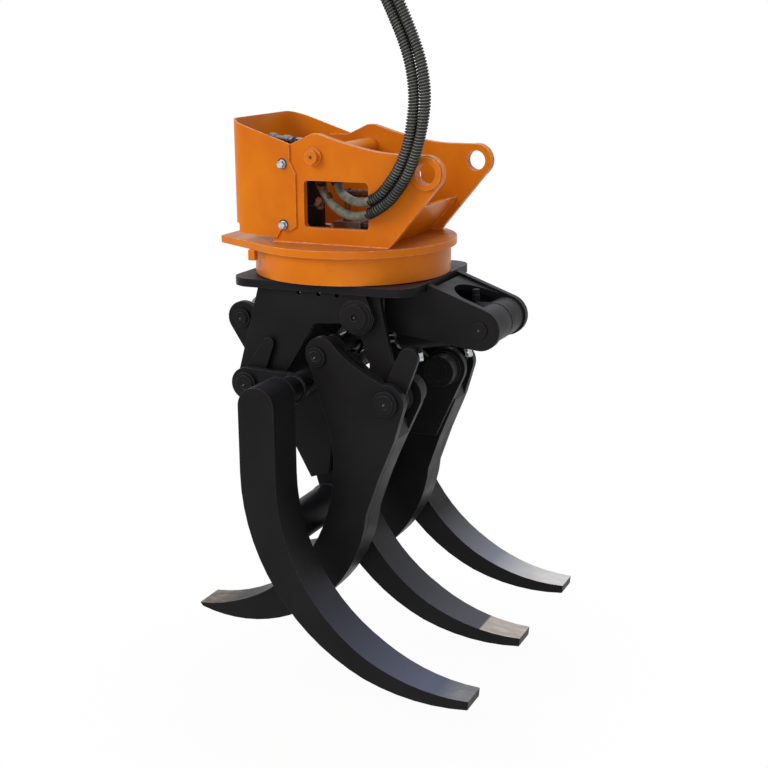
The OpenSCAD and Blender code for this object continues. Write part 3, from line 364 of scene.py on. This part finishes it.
def hose_rubber():
    # Grey green hose cover, wrapped in cloth while it cured: dull, and painted paler from where the
    # spiral guard starts, about 300 mm up, as a painted highlight. The cloth's marks are about 1 mm
    # apart; they are drawn 1.6 mm apart so that they show
    material, tree, coords = new_finish("hose_rubber")
    where = coords["Object"]
    height = add(tree, "ShaderNodeSeparateXYZ", {0: where}).outputs["Z"]
    # Painted highlight: the hose is painted paler where the spiral guard is wound
    painted_highlight_share = add(tree, "ShaderNodeMapRange", {
        "Value": height, "From Min": place(0, 0, 290).z, "From Max": place(0, 0, 330).z,
        "To Max": 0.85}).outputs["Result"]
    colour = add(tree, "ShaderNodeMix", {
        SHARE: painted_highlight_share, UNDER: mottled(tree, where, "#4b5048", "#6d7165", size_mm=18),
        OVER: linear("#8a8d86")}, data_type="RGBA").outputs[MIXED]
    return finished(material, tree, Base_Color=colour, Roughness=0.6,
                    Normal=grained(tree, where, grain_mm=1.6, depth_mm=0.15))


def spiral_plastic():
    # Black extruded polyethylene, wound on the hoses: waxy, slightly scuffed
    material, tree, coords = new_finish("spiral_plastic")
    return finished(
        material, tree, Roughness=0.45, Specular_IOR_Level=0.25,
        Base_Color=mottled(tree, coords["Object"], "#0c0c0e", "#1b1c20", size_mm=8))


def seal_rubber():
    # Black moulded nitrile rubber, dull
    material, tree, coords = new_finish("seal_rubber")
    where = coords["Object"]
    return finished(
        material, tree, Roughness=0.6,
        Base_Color=mottled(tree, where, "#151516", "#212022", size_mm=10),
        Normal=grained(tree, where, grain_mm=1.5, depth_mm=0.05))


# The finishes by name, then the one for each colour slot, and for the nodes that have their own
FINISHES = {finish.__name__: finish() for finish in (
    orange_enamel, black_enamel, sheen_and_wear_enamel_front, sheen_and_wear_enamel_middle, sheen_and_wear_enamel_rear,
    sheen_and_wear_enamel_two, worn_steel, machined_steel, zinc_plate, hard_chrome, dull_brass,
    hose_rubber, spiral_plastic, seal_rubber)}
SLOT_FINISHES = {
    "orange_paint": "orange_enamel", "black_paint": "black_enamel", "bare_steel": "machined_steel",
    "zinc_plate": "zinc_plate", "chromed_rod": "hard_chrome", "bronze": "dull_brass",
    "rubber": "seal_rubber"}
NODE_FINISHES = {
    "tine_front": "sheen_and_wear_enamel_front", "tine_middle": "sheen_and_wear_enamel_middle",
    "tine_rear": "sheen_and_wear_enamel_rear", "side_plate_front": "sheen_and_wear_enamel_two",
    "side_plate_rear": "sheen_and_wear_enamel_two", "side_boxes": "sheen_and_wear_enamel_two",
    "transfer_tube": "seal_rubber", "slew_gearbox": "black_enamel"}
# The colour slot and the body of each CAD node
NODE_SLOTS = {s["node"]: s["material_slot"] for s in frame["record"]["subparts"]}
NODE_BODIES = {
    node: body for body, nodes in frame["record"]["behaviour"]["bodies"].items() for node in nodes}


# Pieces
def piece(name, mesh, body, finish):
    """Shows a mesh with its finish, riding on a body."""
    shown = bpy.data.objects.new(name, mesh)
    bpy.context.collection.objects.link(shown)
    mesh.materials.clear()
    mesh.materials.append(FINISHES[finish])
    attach(shown, body)
    return shown


def baked(shown):
    """Turns an object's modifiers into its mesh."""
    graph = bpy.context.evaluated_depsgraph_get()
    mesh = bpy.data.meshes.new_from_object(shown.evaluated_get(graph))
    shown.modifiers.clear()
    shown.data = mesh


def mesh_of(name, work):
    mesh = bpy.data.meshes.new(name)
    work.to_mesh(mesh)
    work.free()
    return mesh


# Faces that meet at less than SMOOTH_UNDER are shaded as one curve, and the sharper edges are
# rounded by EASE; faces within FLAT_WITHIN and points within MERGE_WITHIN become one
SMOOTH_UNDER = math.radians(26)
FLAT_WITHIN = math.radians(0.6)
MERGE_WITHIN = 0.02 * MM
EASE = 1.6 * MM


def eased(node):
    """A copy of a CAD node with its sharp edges rounded, shown in the node's place."""
    mesh = frame["nodes"][node].data.copy()
    work = bmesh.new()
    work.from_mesh(mesh)
    bmesh.ops.remove_doubles(work, verts=work.verts, dist=MERGE_WITHIN)
    bmesh.ops.dissolve_limit(work, angle_limit=FLAT_WITHIN, verts=work.verts, edges=work.edges)
    for face in work.faces:
        face.smooth = True
    work.to_mesh(mesh)
    work.free()
    shown = piece("eased_" + node, mesh, NODE_BODIES[node],
                  NODE_FINISHES.get(node, SLOT_FINISHES[NODE_SLOTS[node]]))
    mesh.set_sharp_from_angle(angle=SMOOTH_UNDER)
    rounding = shown.modifiers.new("rounding", "BEVEL")
    rounding.width = EASE
    rounding.segments = 2
    rounding.limit_method = "ANGLE"
    rounding.angle_limit = SMOOTH_UNDER
    rounding.harden_normals = True
    rounding.miter_outer = "MITER_ARC"
    baked(shown)
    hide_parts(node)


HEXAGON = 6


def ring_of(work, middle, side, other, radius, sides):
    """A ring of points round a middle, in the plane of two directions."""
    angles = [math.tau * k / sides for k in range(sides)]
    return [work.verts.new(middle + radius * (math.cos(a) * side + math.sin(a) * other))
            for a in angles]


def skinned(work, rings):
    """Faces from each ring to the next, and one over each end."""
    sides = len(rings[0])
    for a, b in zip(rings, rings[1:]):
        for k in range(sides):
            n = (k + 1) % sides
            work.faces.new((a[k], a[n], b[n], b[k]))
    work.faces.new(rings[0][::-1])
    work.faces.new(rings[-1])


def lathe_piece(name, shapes, body, finish):
    """One piece of several turned shapes, each (at, facing, profile, sides).

    A profile is (radius, height) in mm along facing, from at."""
    work = bmesh.new()
    for at, facing, profile, sides in shapes:
        facing = Vector(facing).normalized()
        side = facing.orthogonal().normalized()
        other = facing.cross(side)
        skinned(work, [ring_of(work, at + facing * height * MM, side, other, radius * MM, sides)
                       for radius, height in profile])
    bmesh.ops.recalc_face_normals(work, faces=work.faces)
    for face in work.faces:
        face.smooth = True
    mesh = mesh_of(name, work)
    mesh.set_sharp_from_angle(angle=SMOOTH_UNDER)
    return piece(name, mesh, body, finish)


def guide(name, lines, facings=None):
    """The mesh that a tree works from: points joined in lines, with the way each point faces."""
    points, edges = [], []
    for line in lines:
        edges += [(len(points) + i, len(points) + i + 1) for i in range(len(line) - 1)]
        points += line
    mesh = bpy.data.meshes.new(name)
    mesh.from_pydata(points, edges, [])
    if facings:
        attribute = mesh.attributes.new("facing", "FLOAT_VECTOR", "POINT")
        for i, facing in enumerate(facings):
            attribute.data[i].vector = facing
    return mesh


# Geometry trees for what repeats or follows a line
def growth_tree(name, *sizes):
    tree = bpy.data.node_groups.new(name, "GeometryNodeTree")
    tree.interface.new_socket("Guide", in_out="INPUT", socket_type="NodeSocketGeometry")
    for size in sizes:
        tree.interface.new_socket(size, in_out="INPUT", socket_type="NodeSocketFloat")
    tree.interface.new_socket("Finish", in_out="INPUT", socket_type="NodeSocketMaterial")
    tree.interface.new_socket("Piece", in_out="OUTPUT", socket_type="NodeSocketGeometry")
    return tree, add(tree, "NodeGroupInput").outputs


def end_tree(tree, shape, finish):
    real = add(tree, "GeometryNodeRealizeInstances", {"Geometry": shape}).outputs[0]
    dressed = add(tree, "GeometryNodeSetMaterial", {"Geometry": real, "Material": finish}).outputs[0]
    add(tree, "NodeGroupOutput", {"Piece": dressed})
    return tree


def grown(name, tree, mesh, body, finish, slot, **sizes):
    """The plain mesh that a tree grows on a guide mesh, with the tree's sizes by name."""
    shown = bpy.data.objects.new(name, mesh)
    bpy.context.collection.objects.link(shown)
    growth = shown.modifiers.new("growth", "NODES")
    growth.node_group = tree
    for socket in tree.interface.items_tree:
        if socket.in_out == "INPUT" and socket.name in sizes:
            growth[socket.identifier] = float(sizes[socket.name])
        if socket.name == "Finish":
            growth[socket.identifier] = FINISHES[finish]
    baked(shown)
    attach(shown, body)
    return shown


POINTS_PER_TURN = 12.0


def spiral_tree():
    """A strip wound round a hose: Turns of it at Radius, Strip thick each way from its middle,
    between From and To, which are shares of the route."""
    tree, given = growth_tree("spiral_guard", "Turns", "Radius", "Strip", "From", "To")
    route = add(tree, "GeometryNodeMeshToCurve", {"Mesh": given["Guide"]}).outputs[0]
    count = add(tree, "ShaderNodeMath", {
        0: given["Turns"], 1: POINTS_PER_TURN}, operation="MULTIPLY").outputs[0]
    line = add(tree, "GeometryNodeCurvePrimitiveLine").outputs[0]
    strip = add(tree, "GeometryNodeResampleCurve", {
        "Curve": line, "Count": count}, mode="COUNT").outputs[0]
    share = add(tree, "GeometryNodeSplineParameter").outputs["Factor"]
    along = add(tree, "ShaderNodeMapRange", {
        "Value": share, "To Min": given["From"], "To Max": given["To"]}).outputs["Result"]
    spot = add(tree, "GeometryNodeSampleCurve", {
        "Curves": route, "Factor": along}, mode="FACTOR").outputs
    wound = add(tree, "ShaderNodeMath", {0: share, 1: given["Turns"]}, operation="MULTIPLY").outputs[0]
    angle = add(tree, "ShaderNodeMath", {0: wound, 1: math.tau}, operation="MULTIPLY").outputs[0]
    cosine = add(tree, "ShaderNodeMath", {0: angle}, operation="COSINE").outputs[0]
    sine = add(tree, "ShaderNodeMath", {0: angle}, operation="SINE").outputs[0]
    other = add(tree, "ShaderNodeVectorMath", {
        0: spot["Tangent"], 1: spot["Normal"]}, operation="CROSS_PRODUCT").outputs["Vector"]
    first = add(tree, "ShaderNodeVectorMath", {0: spot["Normal"], "Scale": cosine}, operation="SCALE")
    second = add(tree, "ShaderNodeVectorMath", {0: other, "Scale": sine}, operation="SCALE")
    round_way = add(tree, "ShaderNodeVectorMath", {
        0: first.outputs["Vector"], 1: second.outputs["Vector"]}, operation="ADD")
    out = add(tree, "ShaderNodeVectorMath", {
        0: round_way.outputs["Vector"], "Scale": given["Radius"]}, operation="SCALE")
    at = add(tree, "ShaderNodeVectorMath", {
        0: spot["Position"], 1: out.outputs["Vector"]}, operation="ADD").outputs["Vector"]
    strip = add(tree, "GeometryNodeSetPosition", {"Geometry": strip, "Position": at}).outputs[0]
    section = add(tree, "GeometryNodeCurvePrimitiveCircle", {
        "Resolution": 6, "Radius": given["Strip"]}).outputs[0]
    shape = add(tree, "GeometryNodeCurveToMesh", {
        "Curve": strip, "Profile Curve": section, "Fill Caps": True}).outputs[0]
    return end_tree(tree, shape, given["Finish"])


# How much each ripple swells the bead, as a share of its width, and how many times in a metre
# the welder's hand wavers
RIPPLE_SHARE = 0.13
HAND_SCALE = 60.0


def weld_tree():
    """A weld bead along lines: Width across, with a ripple every Ripple."""
    tree, given = growth_tree("weld_bead", "Width", "Ripple")
    seam = add(tree, "GeometryNodeMeshToCurve", {"Mesh": given["Guide"]}).outputs[0]
    step = add(tree, "ShaderNodeMath", {0: given["Ripple"], 1: 3.0}, operation="DIVIDE").outputs[0]
    seam = add(tree, "GeometryNodeResampleCurve", {
        "Curve": seam, "Length": step}, mode="LENGTH").outputs[0]
    run = add(tree, "GeometryNodeSplineParameter").outputs["Length"]
    phase = add(tree, "ShaderNodeMath", {0: run, 1: given["Ripple"]}, operation="DIVIDE").outputs[0]
    phase = add(tree, "ShaderNodeMath", {0: phase, 1: math.tau}, operation="MULTIPLY").outputs[0]
    wave = add(tree, "ShaderNodeMath", {0: phase}, operation="SINE").outputs[0]
    hand = add(tree, "ShaderNodeTexNoise", {"Scale": HAND_SCALE, "Detail": 1.0}).outputs["Fac"]
    swell = add(tree, "ShaderNodeMath", {
        0: wave, 1: RIPPLE_SHARE, 2: hand}, operation="MULTIPLY_ADD").outputs[0]
    swell = add(tree, "ShaderNodeMath", {0: swell, 1: 0.5}, operation="ADD").outputs[0]
    half = add(tree, "ShaderNodeMath", {0: given["Width"], 1: 0.5}, operation="MULTIPLY").outputs[0]
    section = add(tree, "GeometryNodeCurvePrimitiveCircle", {
        "Resolution": 7, "Radius": half}).outputs[0]
    shape = add(tree, "GeometryNodeCurveToMesh", {
        "Curve": seam, "Profile Curve": section, "Scale": swell, "Fill Caps": True}).outputs[0]
    return end_tree(tree, shape, given["Finish"])


# The radii of a nipple's hexagon and neck, as shares of its width
HEXAGON_SHARE = 0.55
NECK_SHARE = 0.26


def nipple_tree():
    """Grease nipples, Across their hexagon, on points that face their own way."""
    tree, given = growth_tree("grease_nipple", "Across")
    size = given["Across"]
    half = add(tree, "ShaderNodeMath", {0: size, 1: HEXAGON_SHARE}, operation="MULTIPLY").outputs[0]
    neck = add(tree, "ShaderNodeMath", {0: size, 1: NECK_SHARE}, operation="MULTIPLY").outputs[0]
    lift = add(tree, "ShaderNodeCombineXYZ", {"Z": size}).outputs[0]
    nut = add(tree, "GeometryNodeMeshCylinder", {
        "Vertices": HEXAGON, "Radius": half, "Depth": half}).outputs["Mesh"]
    stem = add(tree, "GeometryNodeMeshCone", {
        "Vertices": 16, "Radius Top": neck, "Radius Bottom": half, "Depth": size}).outputs["Mesh"]
    ball = add(tree, "GeometryNodeMeshUVSphere", {
        "Segments": 16, "Rings": 8, "Radius": neck}).outputs["Mesh"]
    ball = add(tree, "GeometryNodeTransform", {"Geometry": ball, "Translation": lift}).outputs[0]
    nipple = add(tree, "GeometryNodeJoinGeometry", {"Geometry": nut})
    tree.links.new(stem, nipple.inputs[0])
    tree.links.new(ball, nipple.inputs[0])
    facing = add(tree, "GeometryNodeInputNamedAttribute", {"Name": "facing"}, data_type="FLOAT_VECTOR")
    turn = add(tree, "FunctionNodeAlignRotationToVector", {
        "Vector": facing.outputs["Attribute"]}, axis="Z")
    placed = add(tree, "GeometryNodeInstanceOnPoints", {
        "Points": given["Guide"], "Instance": nipple.outputs[0],
        "Rotation": turn.outputs[0]}).outputs[0]
    return end_tree(tree, placed, given["Finish"])


SPIRAL, WELD, NIPPLE = spiral_tree(), weld_tree(), nipple_tree()


# Hoses: the routes that the part's own tubes follow
HOSE_RADIUS = 13
HOSE_ROUTES = {
    "hose_outer": (
        (-39, -130, 269), (-21, -140, 241), (22, -164, 212), (79, -195, 195), (140, -228, 201),
        (188, -244, 221), (227, -246, 248), (257, -246, 282), (285, -246, 325), (306, -246, 373),
        (322, -246, 422), (334, -246, 477), (340, -246, 531), (337, -246, 585), (325, -246, 643),
        (304, -246, 701), (279, -248, 759), (257, -250, 806), (237, -252, 843)),
    "hose_inner": (
        (8, -125, 279), (28, -140, 255), (69, -172, 240), (119, -212, 237), (165, -236, 245),
        (202, -246, 265), (230, -246, 296), (255, -246, 332), (276, -246, 374), (292, -246, 422),
        (301, -246, 471), (307, -246, 525), (304, -246, 584), (292, -246, 643), (272, -246, 701),
        (245, -244, 759), (221, -242, 807), (200, -240, 844))}
# Each spiral guard: the shares of the route that it starts and ends at, the length of one turn,
# how far the strip's middle stands off the hose, and half the strip's thickness
GUARD_STARTS = {"hose_outer": 0.26, "hose_inner": 0.24}
GUARD_END = 0.985
GUARD_PITCH = 8.4
GUARD_STAND_OFF = 1.4
GUARD_STRIP = 2.9


def smooth_route(route, steps=6):
    """Points along a curve that passes through every point of the route."""
    points = [place(*p) for p in route]
    ends = [2 * points[0] - points[1]] + points + [2 * points[-1] - points[-2]]
    path = []
    for i in range(1, len(ends) - 2):
        p0, p1, p2, p3 = ends[i - 1:i + 3]
        for k in range(steps):
            t = k / steps
            path.append(0.5 * (
                2 * p1 + (p2 - p0) * t + (2 * p0 - 5 * p1 + 4 * p2 - p3) * t ** 2
                + (3 * p1 - p0 - 3 * p2 + p3) * t ** 3))
    return path + [points[-1]]


def swept(name, path, radius, sides=20):
    """A closed tube along a path, its cross directions turning as little as they can."""
    work = bmesh.new()
    rings = []
    side = ACROSS.copy()
    for i, point in enumerate(path):
        ahead = (path[min(i + 1, len(path) - 1)] - path[max(i - 1, 0)]).normalized()
        side = (side - ahead * side.dot(ahead)).normalized()
        rings.append(ring_of(work, point, side, ahead.cross(side), radius, sides))
    skinned(work, rings)
    for face in work.faces:
        face.smooth = len(face.verts) == 4
    bmesh.ops.recalc_face_normals(work, faces=work.faces)
    return mesh_of(name, work)


def length_of(path):
    return sum((b - a).length for a, b in zip(path, path[1:]))


# A crimped ferrule and its swivel nut, from where the hose enters to the face of the nut
FERRULE = (
    (13.2, -8), (15.6, -7), (15.9, -2), (14.6, -1), (14.6, 1), (15.9, 2), (15.9, 6), (14.6, 7),
    (14.6, 9), (15.9, 10), (15.9, 14), (13, 16), (12, 17), (12, 19))
SWIVEL_NUT = ((13, 19), (15.6, 20.5), (15.6, 32.5), (13, 34))
FERRULE_SIDES = 40


def make_hoses():
    paths = {name: smooth_route(route) for name, route in HOSE_ROUTES.items()}
    tops, nuts, starts = [], [], []
    for name, route in HOSE_ROUTES.items():
        path = paths[name]
        end_way = place(*route[-1]) - place(*route[-2])
        tops.append((path[-1], end_way, FERRULE, FERRULE_SIDES))
        nuts.append((path[-1], end_way, SWIVEL_NUT, HEXAGON))
        starts.append((path[0], path[0] - path[1], FERRULE, FERRULE_SIDES))
    couplers = lathe_piece("hose_top_ferrules", tops + nuts, "head", "machined_steel")
    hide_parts("hose_couplers")
    lower = lathe_piece("hose_lower_ferrules", starts, "head", "machined_steel")
    for name, path in paths.items():
        start = GUARD_STARTS[name]
        turns = round(length_of(path) / MM * (GUARD_END - start) / GUARD_PITCH)
        wrap = grown(
            "spiral_" + name, SPIRAL, guide("route_" + name, [path]), "head", "spiral_plastic",
            "rubber", Turns=turns, Radius=(HOSE_RADIUS + GUARD_STAND_OFF) * MM,
            Strip=GUARD_STRIP * MM, From=start, To=GUARD_END)
        hose = piece("supply_" + name, swept(name, path, HOSE_RADIUS * MM), "head", "hose_rubber")
        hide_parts(name)


# Pins: a stepped end with a greaseway on each, for (pin, how far out its end starts)
BIG_END = (
    (29, -2), (29, 3.2), (27.5, 4.6), (14, 4.6), (13, 3.4), (8, 3.4), (7, 1.0), (7, 0.6))
SMALL_END = (
    (21, -2), (21, 2.6), (19.6, 4), (11, 4), (10, 3), (6, 3), (5, 1.0), (5, 0.6))
PIN_ENDS = (
    ("lower_frame", "pivot", BIG_END, ((PIVOT_THREE, 301), (PIVOT_TWO, 311))),
    ("jaw_three", "rod_pin", SMALL_END, ((ROD_EAR, 110),)),
    ("jaw_two", "rod_shaft", SMALL_END, ((ROD_SHAFT, 310),)))
PIN_END_SIDES = 48
# Grease nipples on the pins' ends and on the eyes, for (pin, how far out they stand)
NIPPLES = (
    ("lower_frame", ((PIVOT_THREE, 304), (PIVOT_TWO, 314), (BASE_PIN, 133), (TIE, 256))),
    ("jaw_three", ((ROD_EAR, 112),)), ("jaw_two", ((ROD_SHAFT, 312),)),
    ("head", ((LINK_PIN, 232),)))
NIPPLE_ACROSS = 7


def make_pin_ends():
    for body, name, profile, spots in PIN_ENDS:
        shapes = [(place(x, hand * y, z), (0, hand, 0), profile, PIN_END_SIDES)
                  for (x, z), y in spots for hand in HANDS]
        lathe_piece(name + "_ends", shapes, body, "black_enamel")
    for body, spots in NIPPLES:
        points = [[place(x, hand * y, z)] for (x, z), y in spots for hand in HANDS]
        facings = [(0, hand, 0) for _ in spots for hand in HANDS]
        grown("nipples_" + body, NIPPLE, guide("nipple_points_" + body, points, facings), body,
              "worn_steel", "bare_steel", Across=NIPPLE_ACROSS * MM)


# Welds: straight seams on one hand of the head and of the frame, as (x, y, z) from end to end
HEAD_SEAMS = (
    ((-163, 208, 107), (211, 208, 107)), ((-163, 184, 107), (180, 184, 107)),
    ((184, 184, 108), (267, 184, 214)), ((166, 184, 108), (246, 184, 212)))
FRAME_SEAMS = (
    ((-196, 246, -26), (-78, 246, -26)), ((-56, 246, -26), (-10, 246, -26)),
    ((10, 246, -26), (50, 246, -26)), ((70, 246, -26), (150, 246, -26)),
    ((68, 132, -26), (290, 132, -26)), ((68, 105, -26), (290, 105, -26)),
    ((190, 200, -26), (190, 200, -80)))
# The seam round the ring housing, under the flange
HOUSING_RADIUS = 301
HOUSING_TOP = 83
HOUSING_STEPS = 120
# Seams round bosses, tubes and hubs, as (middle, radius, how far out)
HEAD_RINGS = (((STICK_PIN.x, STICK_PIN.z), 48, (208,)),)
FRAME_RINGS = ((TIE, 49, (246,)),)
JAW_THREE_RINGS = (
    (PIVOT_THREE, 51, (75, 101)), (CROSS_TUBE, 41, (101, 266, 291)), (TIE_TUBE, 58, (68, 382)))
JAW_TWO_RINGS = ((PIVOT_TWO, 51, (167,)),)
# The seams round the bosses run between these angles and leave their feet open
BOSS_START, BOSS_END = -60, 230
HEAD_BEAD = 6.5
BLACK_BEAD = 7
RIPPLE = 6


def straight(seams):
    """Straight seams on both hands."""
    return [[place(x, hand * y, z) for x, y, z in seam] for seam in seams for hand in HANDS]


def rings_round(rings, start=0, end=360, steps=48):
    """Seams on both hands, round circles about axes that run across the grapple."""
    angles = [math.radians(start + (end - start) * i / steps) for i in range(steps + 1)]
    return [[place(x + radius * math.cos(a), hand * y, z + radius * math.sin(a)) for a in angles]
            for (x, z), radius, outs in rings for y in outs for hand in HANDS]


def weld(body, lines, finish, slot, bead):
    grown("welds_" + body, WELD, guide("weld_lines_" + body, lines), body, finish, slot,
          Width=bead * MM, Ripple=RIPPLE * MM)


def make_welds():
    turns = [math.tau * i / HOUSING_STEPS for i in range(HOUSING_STEPS + 1)]
    housing = [place(HOUSING_RADIUS * math.cos(a), HOUSING_RADIUS * math.sin(a), HOUSING_TOP)
               for a in turns]
    bosses = rings_round(HEAD_RINGS, BOSS_START, BOSS_END)
    weld("head", straight(HEAD_SEAMS) + [housing] + bosses, "orange_enamel", "orange_paint",
         HEAD_BEAD)
    for body, lines in (
            ("lower_frame", straight(FRAME_SEAMS) + rings_round(FRAME_RINGS)),
            ("jaw_three", rings_round(JAW_THREE_RINGS)), ("jaw_two", rings_round(JAW_TWO_RINGS))):
        weld(body, lines, "black_enamel", "black_paint", BLACK_BEAD)


# Hydraulic fittings: a hexagon, a collar and a cap, from the face of a port
PORT_UNION = ((12, -1), (13, 0), (13, 9), (12, 10))
PORT_COLLAR = ((9.5, 9), (10.5, 10), (10.5, 15), (9.5, 16))
PORT_NUT = ((11, 15), (12, 16), (12, 25), (10.5, 26), (6, 27))
PORT_PROFILES = ((PORT_UNION, HEXAGON), (PORT_COLLAR, 32), (PORT_NUT, HEXAGON))
# The face of a port is this far out from the middle of its barrel
PORT_OUT = 61
# Each barrel: the pin that its rod points to, its y, the side that its ports are on, how far they
# are from the base pin, and their finish
BARREL_PORTS = (
    ("cylinder_three", ROD_EAR, 53, 1, (76, 298), "black_enamel"),
    ("cylinder_two", ROD_SHAFT, -53, -1, (76, 236), "zinc_plate"))


def make_ports():
    base = Vector(BASE_PIN)
    for body, rod_end, y, hand, ports, finish in BARREL_PORTS:
        along = (Vector(rod_end) - base).normalized()
        out = Vector((along.y, -along.x)) * hand
        spots = [base + along * distance + out * PORT_OUT for distance in ports]
        shapes = [(place(spot.x, y, spot.y), (out.x, 0, out.y), profile, sides)
                  for spot in spots for profile, sides in PORT_PROFILES]
        lathe_piece("ports_" + body, shapes, body, finish)


# The pipe behind the hoses in the head's window, the riser that feeds it from the swivel, and
# the stems on the slew motor
PIPE = ((9, 0), (14, 1), (14, 20), (11, 21), (11, 32), (13, 33), (13, 58), (12, 60), (12, 284))
RISER = ((14, 0), (14, 16), (9, 17), (9, 84), (12, 85), (12, 98))
STEM = ((12, 0), (16, 1), (16, 22), (10, 23), (10, 60), (14, 61), (14, 82), (10, 83), (10, 96))
# Each fitting: where it starts, the way it faces, its profile and its sides
WINDOW_FITTINGS = (
    ((-22, -20, 238), (1, 0, 0), PIPE, 24), ((-8, -20, 153), (0, 0, 1), RISER, 24),
    ((-32, -152, 250), (0.2, -0.3, 1), PORT_NUT, HEXAGON),
    ((-30, -160, 228), (-0.2, -1, 0.1), PORT_UNION, HEXAGON),
    ((-42, -150, 205), (0, -0.4, 1), PORT_COLLAR, 24),
    ((-36, -150, 190), (0.1, -0.2, 1), PORT_NUT, HEXAGON),
    ((-14, -150, 238), (1, -0.3, 0.5), PORT_COLLAR, 24))
MOTOR_FITTINGS = (
    ((-206, -22, 306), (-0.1, 0, 1), STEM, 24), ((-158, -40, 306), (0.1, -0.2, 1), STEM, 24),
    ((-258, -34, 397), (1, -0.3, -0.04), STEM, 24))
# Thin dark rings under the guard's bolts, in the rubber finish
DARK_BOLT_RING = ((15.5, 0), (15.5, 1.5))
GUARD_BOLT_X = -126
GUARD_FACE = 213
GUARD_BOLT_HEIGHTS = (160, 339)


def make_fittings():
    make_ports()
    for name, fittings, finish, slot in (
            ("window_fittings", WINDOW_FITTINGS, "dull_brass", "bronze"),
            ("motor_fittings", MOTOR_FITTINGS, "machined_steel", "bare_steel")):
        lathe_piece(name, [(place(*at), *shape) for at, *shape in fittings], "head", finish)
    dark_bolt_rings = [(place(GUARD_BOLT_X, hand * GUARD_FACE, z), (0, hand, 0), DARK_BOLT_RING, 32)
               for z in GUARD_BOLT_HEIGHTS for hand in HANDS]
    lathe_piece("guard_bolt_rings", dark_bolt_rings, "head", "seal_rubber")


COVER_LOW = (-205, 179, 109)
COVER_HIGH = (145, 184, 286)


def make_cover():
    """The sheet that closes the far cheek's window and the foot of the guard from inside."""
    low, high = place(*COVER_LOW), place(*COVER_HIGH)
    size = Matrix.Diagonal((*(high - low), 1))
    work = bmesh.new()
    bmesh.ops.create_cube(work, size=1, matrix=Matrix.Translation((low + high) / 2) @ size)
    piece("window_cover", mesh_of("window_cover", work), "head", "orange_enamel")


# Floor, backdrop and lights, in metres. The floor lies well under the jaws and runs out of view
FLOOR_DROP = 0.25
FLOOR_HALF = 14
# The floor is white by its own light all over, and a little less so near the middle
SHADOW_NEAR, SHADOW_FAR = 0.5, 1.4
SHADOW_SHARE = 0.95
SKY_LIGHT = 0.42


def white_rays(tree):
    """1 for what the camera sees, in gloss and through glass too."""
    seen = add(tree, "ShaderNodeLightPath").outputs
    direct = add(tree, "ShaderNodeMath", {
        0: seen["Is Camera Ray"], 1: seen["Is Glossy Ray"]}, operation="MAXIMUM").outputs[0]
    return add(tree, "ShaderNodeMath", {
        0: direct, 1: seen["Is Transmission Ray"]}, operation="MAXIMUM").outputs[0]


def make_stage():
    """A pale floor that the camera sees as white, apart from the shadow near the middle."""
    low = cad_box[0].z - FLOOR_DROP
    corners = [(x * FLOOR_HALF, y * FLOOR_HALF, low) for x, y in ((-1, -1), (1, -1), (1, 1), (-1, 1))]
    mesh = bpy.data.meshes.new("floor")
    mesh.from_pydata(corners, [], [(0, 1, 2, 3)])
    floor = bpy.data.objects.new("floor", mesh)
    bpy.context.collection.objects.link(floor)
    material, tree, coords = new_finish("white_floor")
    away = add(tree, "ShaderNodeVectorMath", {
        0: coords["Object"], 1: (place(0, 0, 0).x, 0, low)}, operation="DISTANCE").outputs["Value"]
    bright = add(tree, "ShaderNodeMapRange", {
        "Value": away, "From Min": SHADOW_NEAR, "From Max": SHADOW_FAR,
        "To Min": SHADOW_SHARE}).outputs["Result"]
    share = add(tree, "ShaderNodeMath", {
        0: white_rays(tree), 1: bright}, operation="MULTIPLY").outputs[0]
    diffuse = add(tree, "ShaderNodeBsdfDiffuse", {"Color": linear("#f7f7f7")}).outputs[0]
    white = add(tree, "ShaderNodeEmission", {"Color": (1, 1, 1, 1), "Strength": 1.0}).outputs[0]
    blend = add(tree, "ShaderNodeMixShader", {0: share, 1: diffuse, 2: white}).outputs[0]
    add(tree, "ShaderNodeOutputMaterial", {"Surface": blend})
    mesh.materials.append(material)


def make_world():
    """White to the camera, in gloss and through glass, and a soft even light on everything."""
    world = bpy.data.worlds.new("studio")
    bpy.context.scene.world = world
    world.use_nodes = True
    tree = world.node_tree
    tree.nodes.clear()
    strength = add(tree, "ShaderNodeMapRange", {
        "Value": white_rays(tree), "To Min": SKY_LIGHT, "To Max": 1.0}).outputs["Result"]
    background = add(tree, "ShaderNodeBackground", {
        "Color": linear("#ffffff"), "Strength": strength}).outputs[0]
    add(tree, "ShaderNodeOutputWorld", {"Surface": background})


# Each lamp: where it stands from the grapple's middle and its width, in metres, watts and colour
LAMPS = {
    "key": ((-1.9, -3.5, 2.9), 2.4, 112, "#fff6ec"),
    "fill": ((1.7, -3.9, 0.7), 3.0, 34, "#fff4ea"),
    "top": ((0.4, 0.8, 3.6), 2.6, 80, "#e4ecff")}
# The point that the lamps face, in mm
MIDDLE = (0, 0, -300)


def make_lights():
    for name, (away, width, watts, colour) in LAMPS.items():
        lamp = bpy.data.objects.new(name, bpy.data.lights.new(name, "AREA"))
        bpy.context.collection.objects.link(lamp)
        lamp.data.size = width
        lamp.data.energy = watts
        lamp.data.color = linear(colour)[:3]
        lamp.location = place(*MIDDLE) + Vector(away)
        lamp.rotation_mode = "QUATERNION"
        lamp.rotation_quaternion = (-Vector(away)).to_track_quat("-Z", "Y")


make_camera()
make_hoses()
for node in frame["nodes"]:
    if node not in ("hose_outer", "hose_inner", "hose_couplers"):
        eased(node)
make_pin_ends()
make_welds()
make_fittings()
make_cover()
make_stage()
make_world()
make_lights()
bpy.context.scene.view_settings.view_transform = "Standard"
